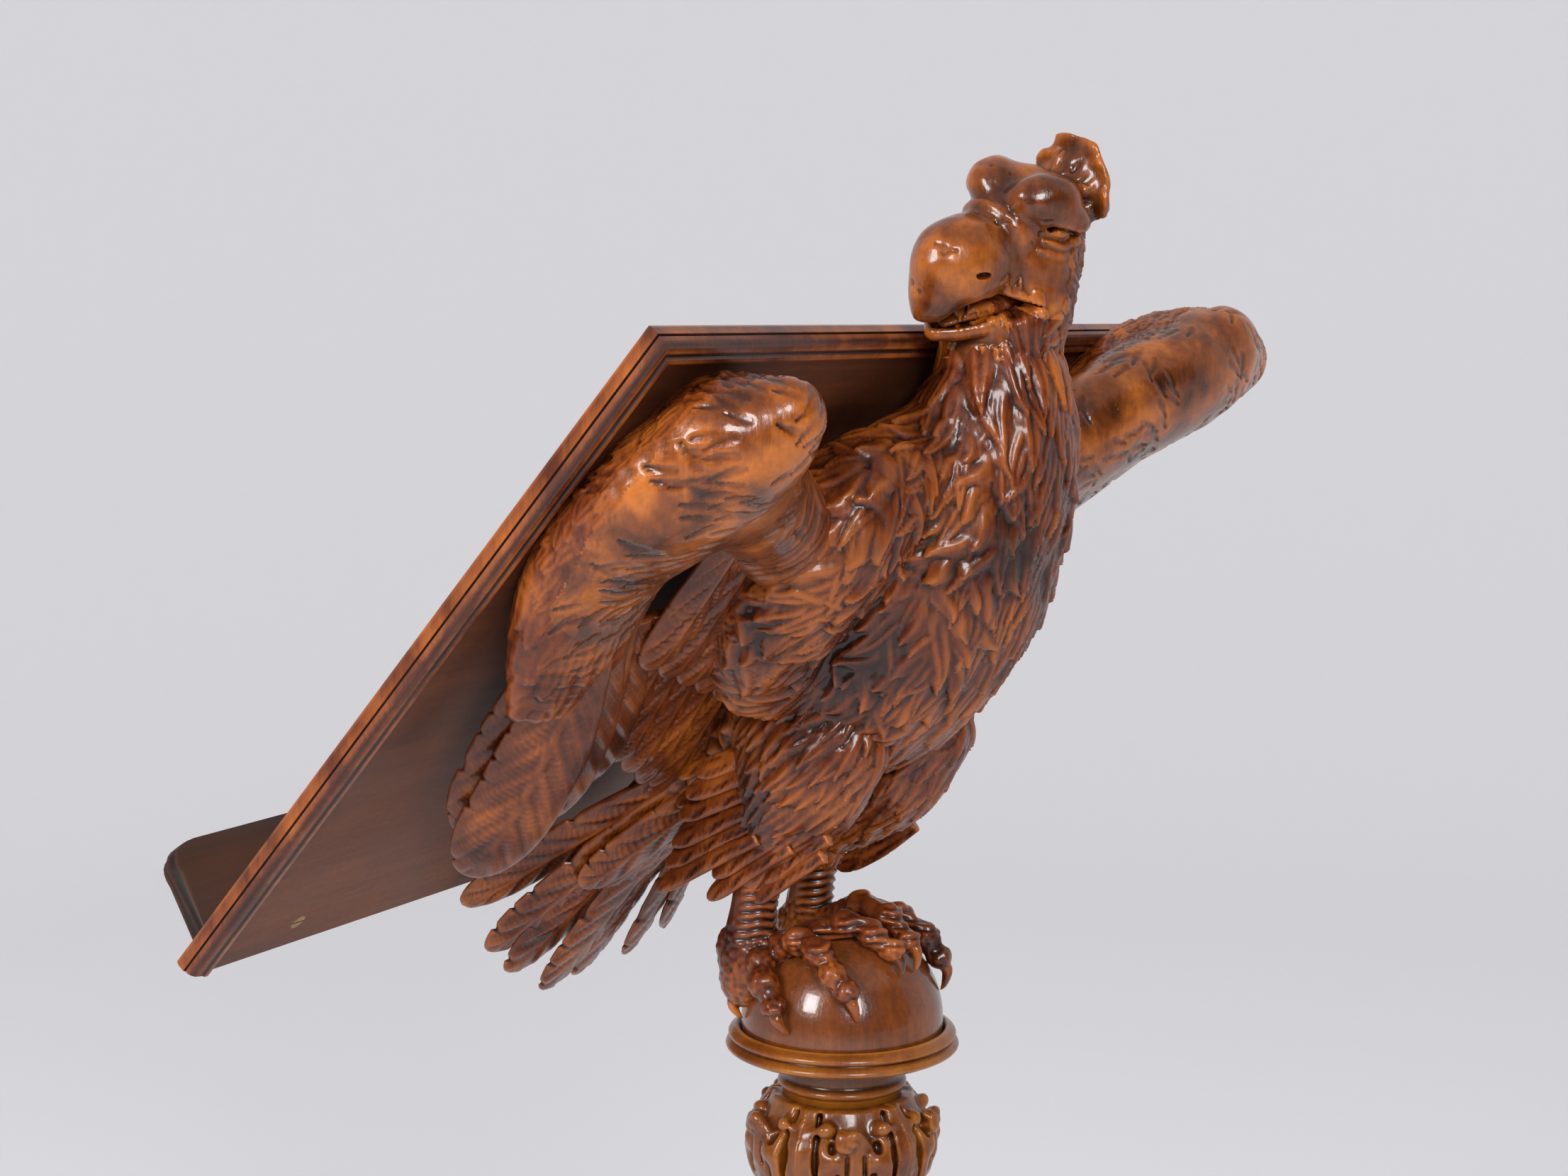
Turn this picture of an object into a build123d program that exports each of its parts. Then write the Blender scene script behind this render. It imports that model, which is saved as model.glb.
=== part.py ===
from build123d import *
import os
from math import cos, radians, sin

# Carved eagle lectern. Millimetres, +Z up, origin on the floor under the column.
# The eagle looks along -Y, the reader stands at +Y, and the eagle's right wing is at -X.

# --- tripod foot -------------------------------------------------------------------------
LEG_ANGLES = {"front_leg": -90.0, "rear_right_leg": 150.0, "rear_left_leg": 30.0}
LEG_REACH = 275.0          # column axis to the toe of a leg
LEG_THICK = 46.0
LEG_FOOT_LENGTH = 62.0     # the flat that rests on the floor
LEG_TOP_RISE = 300.0       # top of the joint with the hub
LEG_JOINT_LOW = 205.0
HUB_R = 50.0
HUB_CHEEK = 6.0            # taken off the hub's side where a leg is glued on
HUB_LOW = 190.0
HUB_TOP = 322.0
PENDANT_DROP = 58.0
PENDANT_R = 30.0
LEG_DOWEL_R = 5.0
LEG_DOWEL_DEPTH = 24.0     # into each of the two pieces it joins
LEG_DOWEL_INSET = 24.0     # from the joint's top and bottom edges

# --- turned column -----------------------------------------------------------------------
BALUSTER_TOP = 610.0
BALUSTER_R = 54.0
SHAFT_R = 31.0
KNOP_LOW = 907.0
KNOP_MID = 935.0
KNOP_TOP = 966.0
KNOP_R = 57.5
KNOP_END_R = 36.5
SPIGOT_R = 13.0            # turned spigots that join the column's pieces
SPIGOT_LENGTH = 30.0
COLLAR_BEAD_R = 40.0
COLLAR_NECK_R = 37.0
COLLAR_COVE_R = 45.0
RING_Z = 1000.0            # the moulded ring's widest point
RING_WALL = 10.0           # the ring's widest point outside the ball
RING_HALF = 6.5
SOCKET_DEPTH = 12.0        # the recess in the ring that the ball turns in
SOCKET_GAP = 1.6

# --- swivel --------------------------------------------------------------------------------
BALL_R = 62.5
BALL_Z = 1013.0
PIN_R = 10.0
PIN_CLEARANCE = 0.08
PIN_INTO_BALL = 30.0
BUSH_WALL = 4.0
BUSH_LENGTH = 72.0
PIN_SHORT = 2.0            # the pin's lower end above the bush's
WASHER_THICK = 2.0
WASHER_R = 46.0

# --- desk ------------------------------------------------------------------------------------
DESK_WIDTH = 650.0
DESK_LENGTH = 464.0
DESK_SLOPE = 48.5          # from the horizontal
DESK_Y, DESK_Z = 89.5, 1267.0
PANEL = 12.5
MOULD_DEPTH = 15.5         # reading face to the lowest part of the edge moulding
MOULD_WIDTH = 13.0
MOULD_LIP = 3.0
LEDGE_THICK = 13.0
LEDGE_DEPTH = 56.0
LEDGE_UP = 15.0            # above the desk's bottom edge
LEDGE_DADO = 3.0
LEDGE_SET_BACK = 4.0       # its ends from the desk's sides
LEDGE_TAPER = 18.0
LEDGE_CORNER_R = 24.0
SCREW_R = 2.5
SCREW_HEAD_R = 5.0
SCREW_STOP = 3.0           # wood left below a desk screw's point
LEDGE_SCREWS = 4
BLOCK_THICK = 16.0         # bearing block between the eagle's back and the desk
BLOCK_WIDTH = 74.0
BLOCK_LENGTH = 104.0
BLOCK_V = 98.0             # its middle, up the slope from the desk's middle

# --- eagle -----------------------------------------------------------------------------------
LEG_X = 38.0               # middle of each shank
SHANK_R = 14.5
SHANK_TOP = 1120.0
ROD_R = 4.0
TOE_ROOT_R = 11.0
HEEL_R = 19.0
CLAW_TIP_R = 0.9
# middle (y, z), half width, half depth, from the neck joint to the tail joint
TRUNK = [
    ((-110, 1400), 43, 39),
    ((-92, 1362), 60, 53),
    ((-69, 1320), 76, 65),
    ((-49, 1280), 80, 69),
    ((-22, 1245), 74, 66),
    ((14, 1213), 62, 54),
    ((54, 1186), 46, 39),
    ((88, 1160), 36, 27),
]
# middle (x, y, z), half width, half depth
NECK = [
    ((0, -110, 1400), 41, 37),
    ((0, -110, 1428), 38, 35),
    ((-2, -111, 1452), 35, 35),
    ((-4, -114, 1474), 33, 36),
]
HEAD = (-4.0, -119.0, 1492.0)
HEAD_TURN = 166.0          # the way the beak points, degrees from +X
TAIL = [
    ((88, 1160), 35, 26),
    ((138, 1106), 52, 22),
    ((186, 1058), 64, 18),
    ((210, 1027), 48, 10),
]
WING_DOWEL_R = 7.0
WING_DOWEL_PITCH = 26.0
NECK_DOWEL_R = 9.0
TAIL_DOWEL_R = 6.0
DOWEL_HALF = 30.0

DESK = Plane(
    origin=(0, DESK_Y, DESK_Z),
    x_dir=(1, 0, 0),
    z_dir=(0, -sin(radians(DESK_SLOPE)), -cos(radians(DESK_SLOPE))),
)
SOCKET_FLOOR = RING_Z + RING_HALF + 2.5 - SOCKET_DEPTH
BALL_BASE = SOCKET_FLOOR + WASHER_THICK
BUSH_LOW = SOCKET_FLOOR - BUSH_LENGTH
HUB_FLAT = HUB_R - HUB_CHEEK
RING_R = BALL_R + RING_WALL
SCREW_LENGTH = PANEL + BLOCK_THICK - SCREW_STOP


def turned(start, *steps):
    """A turned piece about Z. A step is the end of a straight run, or an arc's middle and end."""
    here = Vector(start[0], 0, start[1])
    edges = []
    for step in steps:
        end = Vector(step[-2], 0, step[-1])
        if len(step) == 2:
            edges.append(Line(here, end))
        else:
            edges.append(ThreePointArc(here, Vector(step[0], 0, step[1]), end))
        here = end
    edges.append(Line(here, Vector(start[0], 0, start[1])))
    return revolve(make_face(edges), Axis.Z)


def post(radius, low, high, x=0.0, y=0.0):
    """A round post or bore along Z."""
    return Pos(x, y, (low + high) / 2) * Cylinder(radius, high - low)


def bar(start, end, radius):
    """A round bar between two points."""
    a, b = Vector(start), Vector(end)
    middle = (a + b) * 0.5
    return Plane(origin=middle, z_dir=b - a) * Cylinder(radius, (b - a).length)


def ovals(sections, across=(1, 0, 0), ruled=False):
    """A lofted limb. A section is its middle, half width, half depth and the way it faces."""
    faces = [
        Plane(origin=middle, x_dir=across, z_dir=facing) * Ellipse(half_width, half_depth)
        for middle, half_width, half_depth, facing in sections
    ]
    return loft(faces, ruled=ruled)


def facings(points):
    """The direction of a path at each of its points."""
    last = len(points) - 1
    return [
        Vector(points[min(i + 1, last)]) - Vector(points[max(i - 1, 0)])
        for i in range(len(points))
    ]


def limb(stations, first=None):
    """A lofted limb through (middle, half width, half depth), square to its path."""
    ways = facings([station[0] for station in stations])
    if first is not None:
        ways[0] = Vector(first)
    return ovals([(*station, way) for station, way in zip(stations, ways)])


def spine(stations):
    """Stations given as ((y, z), half width, half depth) on the middle plane."""
    return [((0, y, z), a, b) for (y, z), a, b in stations]


def desk_point(u, v, w):
    """A point u across, v up the slope and w below the reading face."""
    return DESK.from_local_coords((u, v, w))


def below_desk(solid):
    """What is left of a piece on the eagle's side of the desk's underside."""
    return split(solid, bisect_by=DESK.offset(PANEL), keep=Keep.TOP)


# --- foot ------------------------------------------------------------------------------------


def leg_dowel_axes():
    """Start and end of the dowels of the leg that points along +X."""
    heights = (LEG_JOINT_LOW + LEG_DOWEL_INSET, LEG_TOP_RISE - LEG_DOWEL_INSET)
    return [
        ((HUB_FLAT - LEG_DOWEL_DEPTH, 0, z), (HUB_FLAT + LEG_DOWEL_DEPTH, 0, z))
        for z in heights
    ]


def leg_dowels():
    return [
        Rot(0, 0, angle) * bar(start, end, LEG_DOWEL_R)
        for angle in LEG_ANGLES.values()
        for start, end in leg_dowel_axes()
    ]


def leg(angle):
    """A scrolled leg: a thick S that ends in a flat foot under a rolled toe."""
    toe = LEG_REACH
    heel = toe - LEG_FOOT_LENGTH
    upper = Spline(
        (HUB_FLAT, 0, LEG_TOP_RISE),
        (0.42 * toe, 0, 0.86 * LEG_TOP_RISE),
        (0.62 * toe, 0, 0.50 * LEG_TOP_RISE),
        (0.78 * toe, 0, 0.21 * LEG_TOP_RISE),
        (0.94 * toe, 0, 0.17 * LEG_TOP_RISE),
        tangents=((1, 0, 0), (1, 0, -0.5)),
    )
    roll = ThreePointArc(upper @ 1, (toe, 0, 0.09 * LEG_TOP_RISE), (toe - 12, 0, 0))
    sole = Line(roll @ 1, (heel, 0, 0))
    lower = Spline(
        (heel, 0, 0),
        (0.66 * toe, 0, 0.14 * LEG_TOP_RISE),
        (0.46 * toe, 0, 0.42 * LEG_TOP_RISE),
        (0.32 * toe, 0, 0.62 * LEG_TOP_RISE),
        (HUB_FLAT, 0, LEG_JOINT_LOW),
        tangents=((-0.8, 0, 1), (-1, 0, -0.1)),
    )
    joint = Line(lower @ 1, upper @ 0)
    side = make_face([upper, roll, sole, lower, joint])
    blank = extrude(side, amount=LEG_THICK / 2, dir=(0, 1, 0), both=True)
    for start, end in leg_dowel_axes():
        blank -= bar(start, end, LEG_DOWEL_R)
    return Rot(0, 0, angle) * blank


def hub():
    body = turned(
        (0, HUB_LOW), (HUB_R - 8, HUB_LOW), (HUB_R - 2, HUB_LOW + 3, HUB_R, HUB_LOW + 9),
        (HUB_R, HUB_TOP - 14), (HUB_R + 5, HUB_TOP - 8, HUB_R, HUB_TOP - 2),
        (HUB_R - 4, HUB_TOP), (0, HUB_TOP),
    )
    mid = (LEG_JOINT_LOW + LEG_TOP_RISE) / 2
    for angle in LEG_ANGLES.values():
        cheek = Box(2 * HUB_R, 2 * HUB_R, LEG_TOP_RISE - LEG_JOINT_LOW)
        body -= Rot(0, 0, angle) * Pos(HUB_FLAT + HUB_R, 0, mid) * cheek
    for peg in leg_dowels():
        body -= peg
    body -= post(SPIGOT_R, HUB_TOP - SPIGOT_LENGTH, HUB_TOP)
    return body - post(SPIGOT_R, HUB_LOW, HUB_LOW + SPIGOT_LENGTH)


def pendant():
    tip = HUB_LOW - PENDANT_DROP
    drop = turned(
        (0, HUB_LOW), (PENDANT_R, HUB_LOW), (PENDANT_R + 4, HUB_LOW - 5, PENDANT_R, HUB_LOW - 10),
        (0.5 * PENDANT_R, HUB_LOW - 17), (0.95 * PENDANT_R, HUB_LOW - 30, 0.4 * PENDANT_R, tip + 9),
        (0.36 * PENDANT_R, tip + 3, 0.15 * PENDANT_R, tip), (0, tip),
    )
    return drop + post(SPIGOT_R, HUB_LOW, HUB_LOW + SPIGOT_LENGTH)


# --- column ----------------------------------------------------------------------------------


def baluster():
    low, top, wide = HUB_TOP, BALUSTER_TOP, BALUSTER_R
    foot = low + 34
    neck = top - 52
    body = turned(
        (0, low), (wide - 8, low), (wide - 2, low + 7, wide - 8, low + 14), (wide - 16, low + 17),
        (wide - 24, low + 26, wide - 20, foot), (wide + 2, foot + 62, wide - 20, foot + 140),
        (SHAFT_R - 4, neck - 20, SHAFT_R - 2, neck), (SHAFT_R + 5, neck),
        (SHAFT_R + 12, neck + 8, SHAFT_R + 5, neck + 16), (SHAFT_R - 1, neck + 19),
        (SHAFT_R - 3, top - 18, SHAFT_R + 6, top - 8), (SHAFT_R + 6, top), (0, top),
    )
    body += post(SPIGOT_R, low - SPIGOT_LENGTH, low)
    return body - post(SPIGOT_R, top - SPIGOT_LENGTH, top)


def shaft():
    low, top, r = BALUSTER_TOP, KNOP_LOW, SHAFT_R
    body = turned(
        (0, low), (r + 5, low), (r + 10, low + 6, r + 5, low + 12), (r, low + 15),
        (r + 4, low + 90, r - 4, top - 52), (r + 3, top - 52), (r + 8, top - 46, r + 3, top - 40),
        (r - 4, top - 37), (r - 7, top - 22, r + 3, top - 10), (KNOP_END_R, top - 10),
        (KNOP_END_R, top), (0, top),
    )
    body += post(SPIGOT_R, low - SPIGOT_LENGTH, low)
    return body + post(SPIGOT_R, top, top + SPIGOT_LENGTH / 2)


def knop():
    body = turned(
        (0, KNOP_LOW), (KNOP_END_R, KNOP_LOW),
        (0.87 * KNOP_R, KNOP_LOW + 9, KNOP_R, KNOP_MID),
        (0.88 * KNOP_R, KNOP_MID + 20, KNOP_END_R, KNOP_TOP), (0, KNOP_TOP),
    )
    body -= post(SPIGOT_R, KNOP_LOW, KNOP_LOW + SPIGOT_LENGTH / 2)
    return body - post(PIN_R + BUSH_WALL, BUSH_LOW, KNOP_TOP)


def collar():
    top = RING_Z + RING_HALF + 2.5
    neck = KNOP_TOP + 4
    body = turned(
        (0, KNOP_TOP), (COLLAR_NECK_R, KNOP_TOP), (COLLAR_NECK_R, neck),
        (COLLAR_BEAD_R, neck + 3.5, COLLAR_NECK_R, neck + 7), (COLLAR_NECK_R, neck + 9),
        (COLLAR_NECK_R + 1.5, neck + 18, COLLAR_COVE_R, RING_Z - RING_HALF - 1),
        (RING_R - 9, RING_Z - RING_HALF - 1), (RING_R - RING_HALF, RING_Z - RING_HALF),
        (RING_R, RING_Z, RING_R - RING_HALF + 1.5, RING_Z + RING_HALF - 0.5),
        (RING_R - RING_HALF, RING_Z + RING_HALF), (RING_R - RING_HALF, top), (0, top),
    )
    body -= post(BALL_R + SOCKET_GAP, SOCKET_FLOOR, top)
    return body - post(PIN_R + BUSH_WALL, KNOP_TOP, SOCKET_FLOOR)


# --- swivel ----------------------------------------------------------------------------------


def swivel_bush():
    wall = post(PIN_R + BUSH_WALL, BUSH_LOW, SOCKET_FLOOR)
    return wall - post(PIN_R + PIN_CLEARANCE, BUSH_LOW, SOCKET_FLOOR)


def bearing_washer():
    disc = post(WASHER_R, SOCKET_FLOOR, BALL_BASE)
    return disc - post(PIN_R + 1, SOCKET_FLOOR, BALL_BASE)


def swivel_pin():
    return post(PIN_R, BUSH_LOW + PIN_SHORT, BALL_BASE + PIN_INTO_BALL)


def sphere():
    return Pos(0, 0, BALL_Z) * Sphere(BALL_R)


def rod_ends(side):
    """The iron rod that ties a foot to the ball and the thigh."""
    return (side * 28, 32, BALL_Z - 1), (side * 41.5, 38.5, SHANK_TOP + 14)


def ball():
    body = sphere() - post(BALL_R, BALL_Z - BALL_R, BALL_BASE)
    body -= post(PIN_R, BALL_BASE, BALL_BASE + PIN_INTO_BALL)
    for side in (-1, 1):
        body -= bar(*rod_ends(side), ROD_R)
    return body


# --- eagle -----------------------------------------------------------------------------------


def on_ball(azimuth, elevation, height):
    """A point at a height above the ball's surface."""
    r = BALL_R + height
    a, e = radians(azimuth), radians(elevation)
    return Vector(r * cos(e) * cos(a), r * cos(e) * sin(a), BALL_Z + r * sin(e))


def toe(heel, knuckles, claw):
    """A toe from the heel over its knuckles to the claw's tip, as one lofted finger."""
    places = [Vector(heel)] + [on_ball(a, e, h) for a, e, h, r in knuckles] + [on_ball(*claw)]
    radii = [TOE_ROOT_R] + [r for a, e, h, r in knuckles] + [CLAW_TIP_R]
    rounds = zip(places, radii, radii, facings(places))
    return ovals(rounds, across=None, ruled=True)


# azimuth, elevation, height above the ball and radius of each knuckle, then the claw's tip
RIGHT_TOES = [
    ([(150, 36, 8, 8), (160, 27, 9, 8.5), (170, 17, 6, 6.5)], (177, 4, 1)),
    ([(170, 52, 9, 8.5), (-170, 47, 9, 9), (-158, 36, 8, 8), (-150, 28, 7, 7)], (-144, 13, 1)),
    ([(-150, 66, 9, 8), (-125, 58, 8, 8), (-114, 47, 7, 7)], (-111, 34, 1)),
    ([(128, 30, 7, 9), (130, 16, 4, 7)], (132, 3, 1)),
]
LEFT_TOES = [
    ([(24, 44, 9, 9), (4, 36, 8, 8.5), (-12, 25, 7, 7)], (-20, 10, 1)),
    ([(10, 60, 7, 8.5), (-40, 58, 7, 8.5), (-58, 44, 8, 8), (-61, 32, 7, 7)], (-60, 15, 1)),
    ([(0, 70, 7, 8), (-80, 66, 8, 8), (-92, 50, 7, 7)], (-94, 35, 1)),
    ([(52, 30, 7, 9), (50, 16, 4, 7)], (48, 3, 1)),
]


def foot_and_shank(side, toes):
    """A shank, its foot and claws, hollowed below to sit on the ball."""
    shank = limb([
        ((side * LEG_X, 45, 1046), 17, 18),
        ((side * LEG_X, 45, 1062), 16, 16.5),
        ((side * LEG_X, 40, 1088), SHANK_R - 0.5, SHANK_R),
        ((side * LEG_X, 36, SHANK_TOP), SHANK_R, SHANK_R + 1),
    ])
    shank = split(shank, bisect_by=Plane.XY.offset(SHANK_TOP), keep=Keep.BOTTOM)
    heel = (side * LEG_X * 0.92, 38, 1052)
    foot = shank + Pos(*heel) * Sphere(HEEL_R)
    for knuckles, claw in toes:
        foot += toe(heel, knuckles, claw)
    foot -= Pos(0, 0, BALL_Z) * Sphere(BALL_R)
    return foot - bar(*rod_ends(side), ROD_R)


def trunk_loft():
    return limb(spine(TRUNK))


def thigh_blank(side, lead):
    return ovals([
        ((side * LEG_X, 36, SHANK_TOP), SHANK_R + 1, SHANK_R + 2, (0, 0, 1)),
        ((side * (LEG_X + 2), 22 - lead, 1142), 23, 26, (0, 0, 1)),
        ((side * (LEG_X + 4), 8 - lead, 1165), 30, 38, (0, 0, 1)),
        ((side * (LEG_X + 5), 2 - lead, 1188), 33, 44, (0, 0, 1)),
        ((side * (LEG_X + 3), 2 - lead, 1212), 31, 46, (0, 0, 1)),
        ((side * (LEG_X - 2), 2 - lead, 1232), 24, 38, (0, 0, 1)),
    ])


def thigh(side, lead, trunk):
    return thigh_blank(side, lead) - trunk - bar(*rod_ends(side), ROD_R)


def neck_dowel_ends():
    (y, z) = TRUNK[0][0]
    return (0, y + 4, z - DOWEL_HALF), (0, y - 2, z + DOWEL_HALF)


def tail_dowels(spread=16.0):
    (y, z) = TRUNK[-1][0]
    step = Vector(0, TAIL[1][0][0] - y, TAIL[1][0][1] - z).normalized() * DOWEL_HALF
    pegs = []
    for x in (-spread, spread):
        middle = Vector(x, y, z)
        pegs.append(bar(middle - step, middle + step, TAIL_DOWEL_R))
    return pegs


def wing_dowels(side):
    u, v, w, *halves = ARM[side][0]
    spots = (desk_point(0, v - WING_DOWEL_PITCH / 2, w), desk_point(0, v + WING_DOWEL_PITCH / 2, w))
    return [
        bar((side * 34, spot.Y, spot.Z), (side * 112, spot.Y, spot.Z), WING_DOWEL_R)
        for spot in spots
    ]


def trunk():
    body = trunk_loft()
    body = split(body, bisect_by=DESK.offset(PANEL + BLOCK_THICK), keep=Keep.TOP)
    body -= bar(*neck_dowel_ends(), NECK_DOWEL_R)
    for peg in tail_dowels() + wing_dowels(-1) + wing_dowels(1):
        body -= peg
    return body


def head_frame():
    a = radians(HEAD_TURN)
    return Plane(origin=HEAD, x_dir=(cos(a), sin(a), 0), z_dir=(0, 0, 1))


def head():
    """Skull, brows, hooked beak, lower jaw and crest, set on the turned frame."""
    skull = ovals([
        ((-38, 0, -4), 10, 12, (1, 0, 0)), ((-24, 0, 0), 27, 30, (1, 0, 0)),
        ((2, 0, 2), 32, 36, (1, 0, 0)), ((30, 0, -4), 27, 32, (1, 0, 0)),
        ((46, 0, -8), 20, 26, (1, 0, 0)),
    ], across=(0, 1, 0))
    beak = ovals([
        ((44, 0, -6), 19, 25, (1, 0, 0)), ((62, 0, -10), 16, 22, (1, 0, -0.2)),
        ((78, 0, -22), 11, 15, (1, 0, -0.8)), ((84, 0, -40), 5, 7, (0.3, 0, -1)),
    ], across=(0, 1, 0))
    jaw = ovals([
        ((20, 0, -30), 17, 12, (1, 0, 0)), ((52, 0, -37), 12, 8, (1, 0, 0)),
        ((70, 0, -42), 6, 4, (1, 0, 0)),
    ], across=(0, 1, 0))
    brows = [
        Pos(26, y, 24) * Rot(0, 18, 0) * scale(Sphere(1), by=(24, 15, 14)) for y in (-16, 16)
    ]
    crest = ovals([
        ((-24, 2, 16), 15, 10, (-0.5, 0, 1)), ((-38, 2, 38), 14, 9, (-0.3, 0, 1)),
        ((-40, 2, 56), 7, 4, (0, 0, 1)),
    ], across=(0, 1, 0))
    return head_frame() * (skull + beak + jaw + brows + crest)


def neck_and_head():
    (y, z), (y2, z2) = TRUNK[0][0], TRUNK[1][0]
    neck = limb(NECK, first=(0, y - y2, z - z2))
    return neck + head() - bar(*neck_dowel_ends(), NECK_DOWEL_R)


def tail():
    (y, z), (y2, z2) = TRUNK[-1][0], TRUNK[-2][0]
    fan = limb(spine(TAIL), first=(0, y - y2, z - z2))
    for peg in tail_dowels():
        fan -= peg
    return fan


# out from the middle, up the slope, below the reading face, half height, half depth
ARM = {
    -1: [(40, 118, 66, 28, 30), (110, 122, 60, 32, 32), (180, 146, 54, 42, 36),
         (240, 176, 48, 44, 38), (282, 196, 44, 26, 24)],
    1: [(40, 140, 66, 32, 32), (110, 172, 66, 38, 34), (180, 214, 68, 42, 34),
        (250, 248, 72, 42, 34), (304, 262, 74, 26, 24)],
}
# up the slope, out from the middle, below the reading face, half width, half depth
HAND = {
    -1: [(214, 244, 46, 34, 30), (170, 240, 40, 56, 40), (110, 238, 38, 56, 38),
         (50, 232, 42, 50, 33), (0, 226, 50, 46, 28), (-46, 220, 56, 42, 24)],
    1: [(276, 266, 70, 28, 24), (226, 254, 52, 52, 42), (140, 244, 38, 56, 40),
        (70, 230, 40, 48, 32), (16, 216, 48, 42, 26), (-30, 208, 54, 38, 22)],
}
PRIMARY_LENGTH = 90.0
PRIMARY_END = (20.0, 7.0)


def wing_blank(side):
    arm = ovals([
        (desk_point(side * u, v, w), half_v, half_w, (1, 0, 0))
        for u, v, w, half_v, half_w in ARM[side]
    ], across=DESK.y_dir)
    up = DESK.y_dir
    hand = ovals([
        (desk_point(side * u, v, w), half_u, half_w, up)
        for v, u, w, half_u, half_w in HAND[side]
    ])
    solid = below_desk(arm + hand)
    for moulding in (top_moulding(), side_moulding(side)):
        solid -= moulding
    return solid


def wing(side, trunk_solid):
    solid = wing_blank(side) - trunk_solid
    for peg in wing_dowels(side):
        solid -= peg
    return solid


def primaries(side):
    """The long flight feathers, glued to the end of the wing as one carved blade."""
    v, u, w, half_u, half_w = HAND[side][-1]
    tip_u, tip_w = PRIMARY_END
    up = DESK.y_dir
    return ovals([
        (desk_point(side * u, v, w), half_u - 2, half_w - 2, up),
        (desk_point(side * (u - 4), v - 0.5 * PRIMARY_LENGTH, w + 4), half_u - 4, half_w - 5, up),
        (desk_point(side * (u - 14), v - PRIMARY_LENGTH, w + 8), tip_u, tip_w, up),
    ])


def secondaries(side, *neighbours):
    """The inner flight feathers, a thin carved blade between the wing and the eagle's side."""
    v = HAND[side][2][0]
    blade = ovals([
        (desk_point(side * 150, v + 20, PANEL + 26), 70, 14, DESK.y_dir),
        (desk_point(side * 140, v - 60, PANEL + 30), 62, 12, DESK.y_dir),
        (desk_point(side * 132, v - 150, PANEL + 40), 44, 8, DESK.y_dir),
        (desk_point(side * 126, v - 196, PANEL + 48), 20, 4, DESK.y_dir),
    ])
    blade = below_desk(blade)
    for solid in neighbours:
        blade -= solid
    return blade.solids().sort_by(SortBy.VOLUME)[-1]


def back_block():
    middle = Pos(0, BLOCK_V, PANEL + BLOCK_THICK / 2)
    block = DESK * middle * Box(BLOCK_WIDTH, BLOCK_LENGTH, BLOCK_THICK)
    for peg in block_screws():
        block -= peg
    return block


# --- desk ------------------------------------------------------------------------------------


def edge_profile():
    """The edge moulding, as (in from the edge, below the reading face)."""
    w, d, lip = MOULD_WIDTH, MOULD_DEPTH, MOULD_LIP
    points = [(w, 0), (lip, 0), (0, 3.0), (0, 7.5), (1.5, 7.5), (1.5, 8.5), (1.0, 8.5),
              (7.0, 14.0), (w - 1, d), (w, d)]
    edges = [
        Line(points[0], points[1]),
        ThreePointArc(points[1], (0.9, 0.9), points[2]),
        Line(points[2], points[3]), Line(points[3], points[4]), Line(points[4], points[5]),
        Line(points[5], points[6]), ThreePointArc(points[6], (2.8, 12.2), points[7]),
        ThreePointArc(points[7], (9.2, 14.3), points[8]),
        Line(points[8], points[9]), Line(points[9], points[0]),
    ]
    return make_face(edges)


def moulding_run(length):
    """A straight run along the slope with its edge at 0, the piece lying towards +X."""
    end = Plane(origin=(0, length / 2, 0), x_dir=(1, 0, 0), z_dir=(0, -1, 0))
    return extrude(end * edge_profile(), amount=length)


def mitre(corner_x, turn, size=60.0):
    """The wedge that a 45 degree mitre takes off at a top corner, pointing along its turn."""
    wedge = make_face(Polyline((0, 0), (size, -size), (size, size), (0, 0)))
    return Pos(corner_x, DESK_LENGTH / 2, -size) * Rot(0, 0, turn) * extrude(wedge, amount=2 * size)


def side_moulding(side):
    run = moulding_run(DESK_LENGTH)
    if side > 0:
        run = mirror(run, Plane.YZ)
    edge = side * DESK_WIDTH / 2
    return DESK * (Pos(edge, 0, 0) * run - mitre(edge, 0 if side < 0 else 180)) - book_ledge()


def top_moulding():
    run = Pos(0, DESK_LENGTH / 2, 0) * Rot(0, 0, -90) * moulding_run(DESK_WIDTH)
    for side in (-1, 1):
        run -= mitre(side * DESK_WIDTH / 2, -90)
    return DESK * run


def ledge_v():
    """The ledge's lower face, up the slope from the desk's middle."""
    return -DESK_LENGTH / 2 + LEDGE_UP


def book_ledge():
    """A shelf square to the desk, its front corners rounded and its ends raked."""
    half = DESK_WIDTH / 2 - LEDGE_SET_BACK
    outline = make_face(Polyline(
        (-half, LEDGE_DADO), (half, LEDGE_DADO), (half, 0), (half - LEDGE_TAPER, -LEDGE_DEPTH),
        (-half + LEDGE_TAPER, -LEDGE_DEPTH), (-half, 0), (-half, LEDGE_DADO),
    ))
    outline = fillet(outline.vertices().sort_by(Axis.Y)[:2], LEDGE_CORNER_R)
    top = Plane(origin=(0, ledge_v() + LEDGE_THICK, 0), x_dir=(1, 0, 0), z_dir=(0, -1, 0))
    board = DESK * extrude(top * outline, amount=LEDGE_THICK)
    for screw in ledge_screws():
        board -= screw
    return board


def screw(u, v, w, way):
    """A countersunk screw driven from w along +1 or -1 of the desk's own depth axis."""
    head = SCREW_HEAD_R - SCREW_R
    body = turned(
        (0, 0), (SCREW_HEAD_R, 0), (SCREW_R, head), (SCREW_R, SCREW_LENGTH - SCREW_R),
        (0, SCREW_LENGTH),
    )
    flip = 0 if way > 0 else 180
    return DESK * Pos(u, v, w) * Rot(flip, 0, 0) * body


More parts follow.
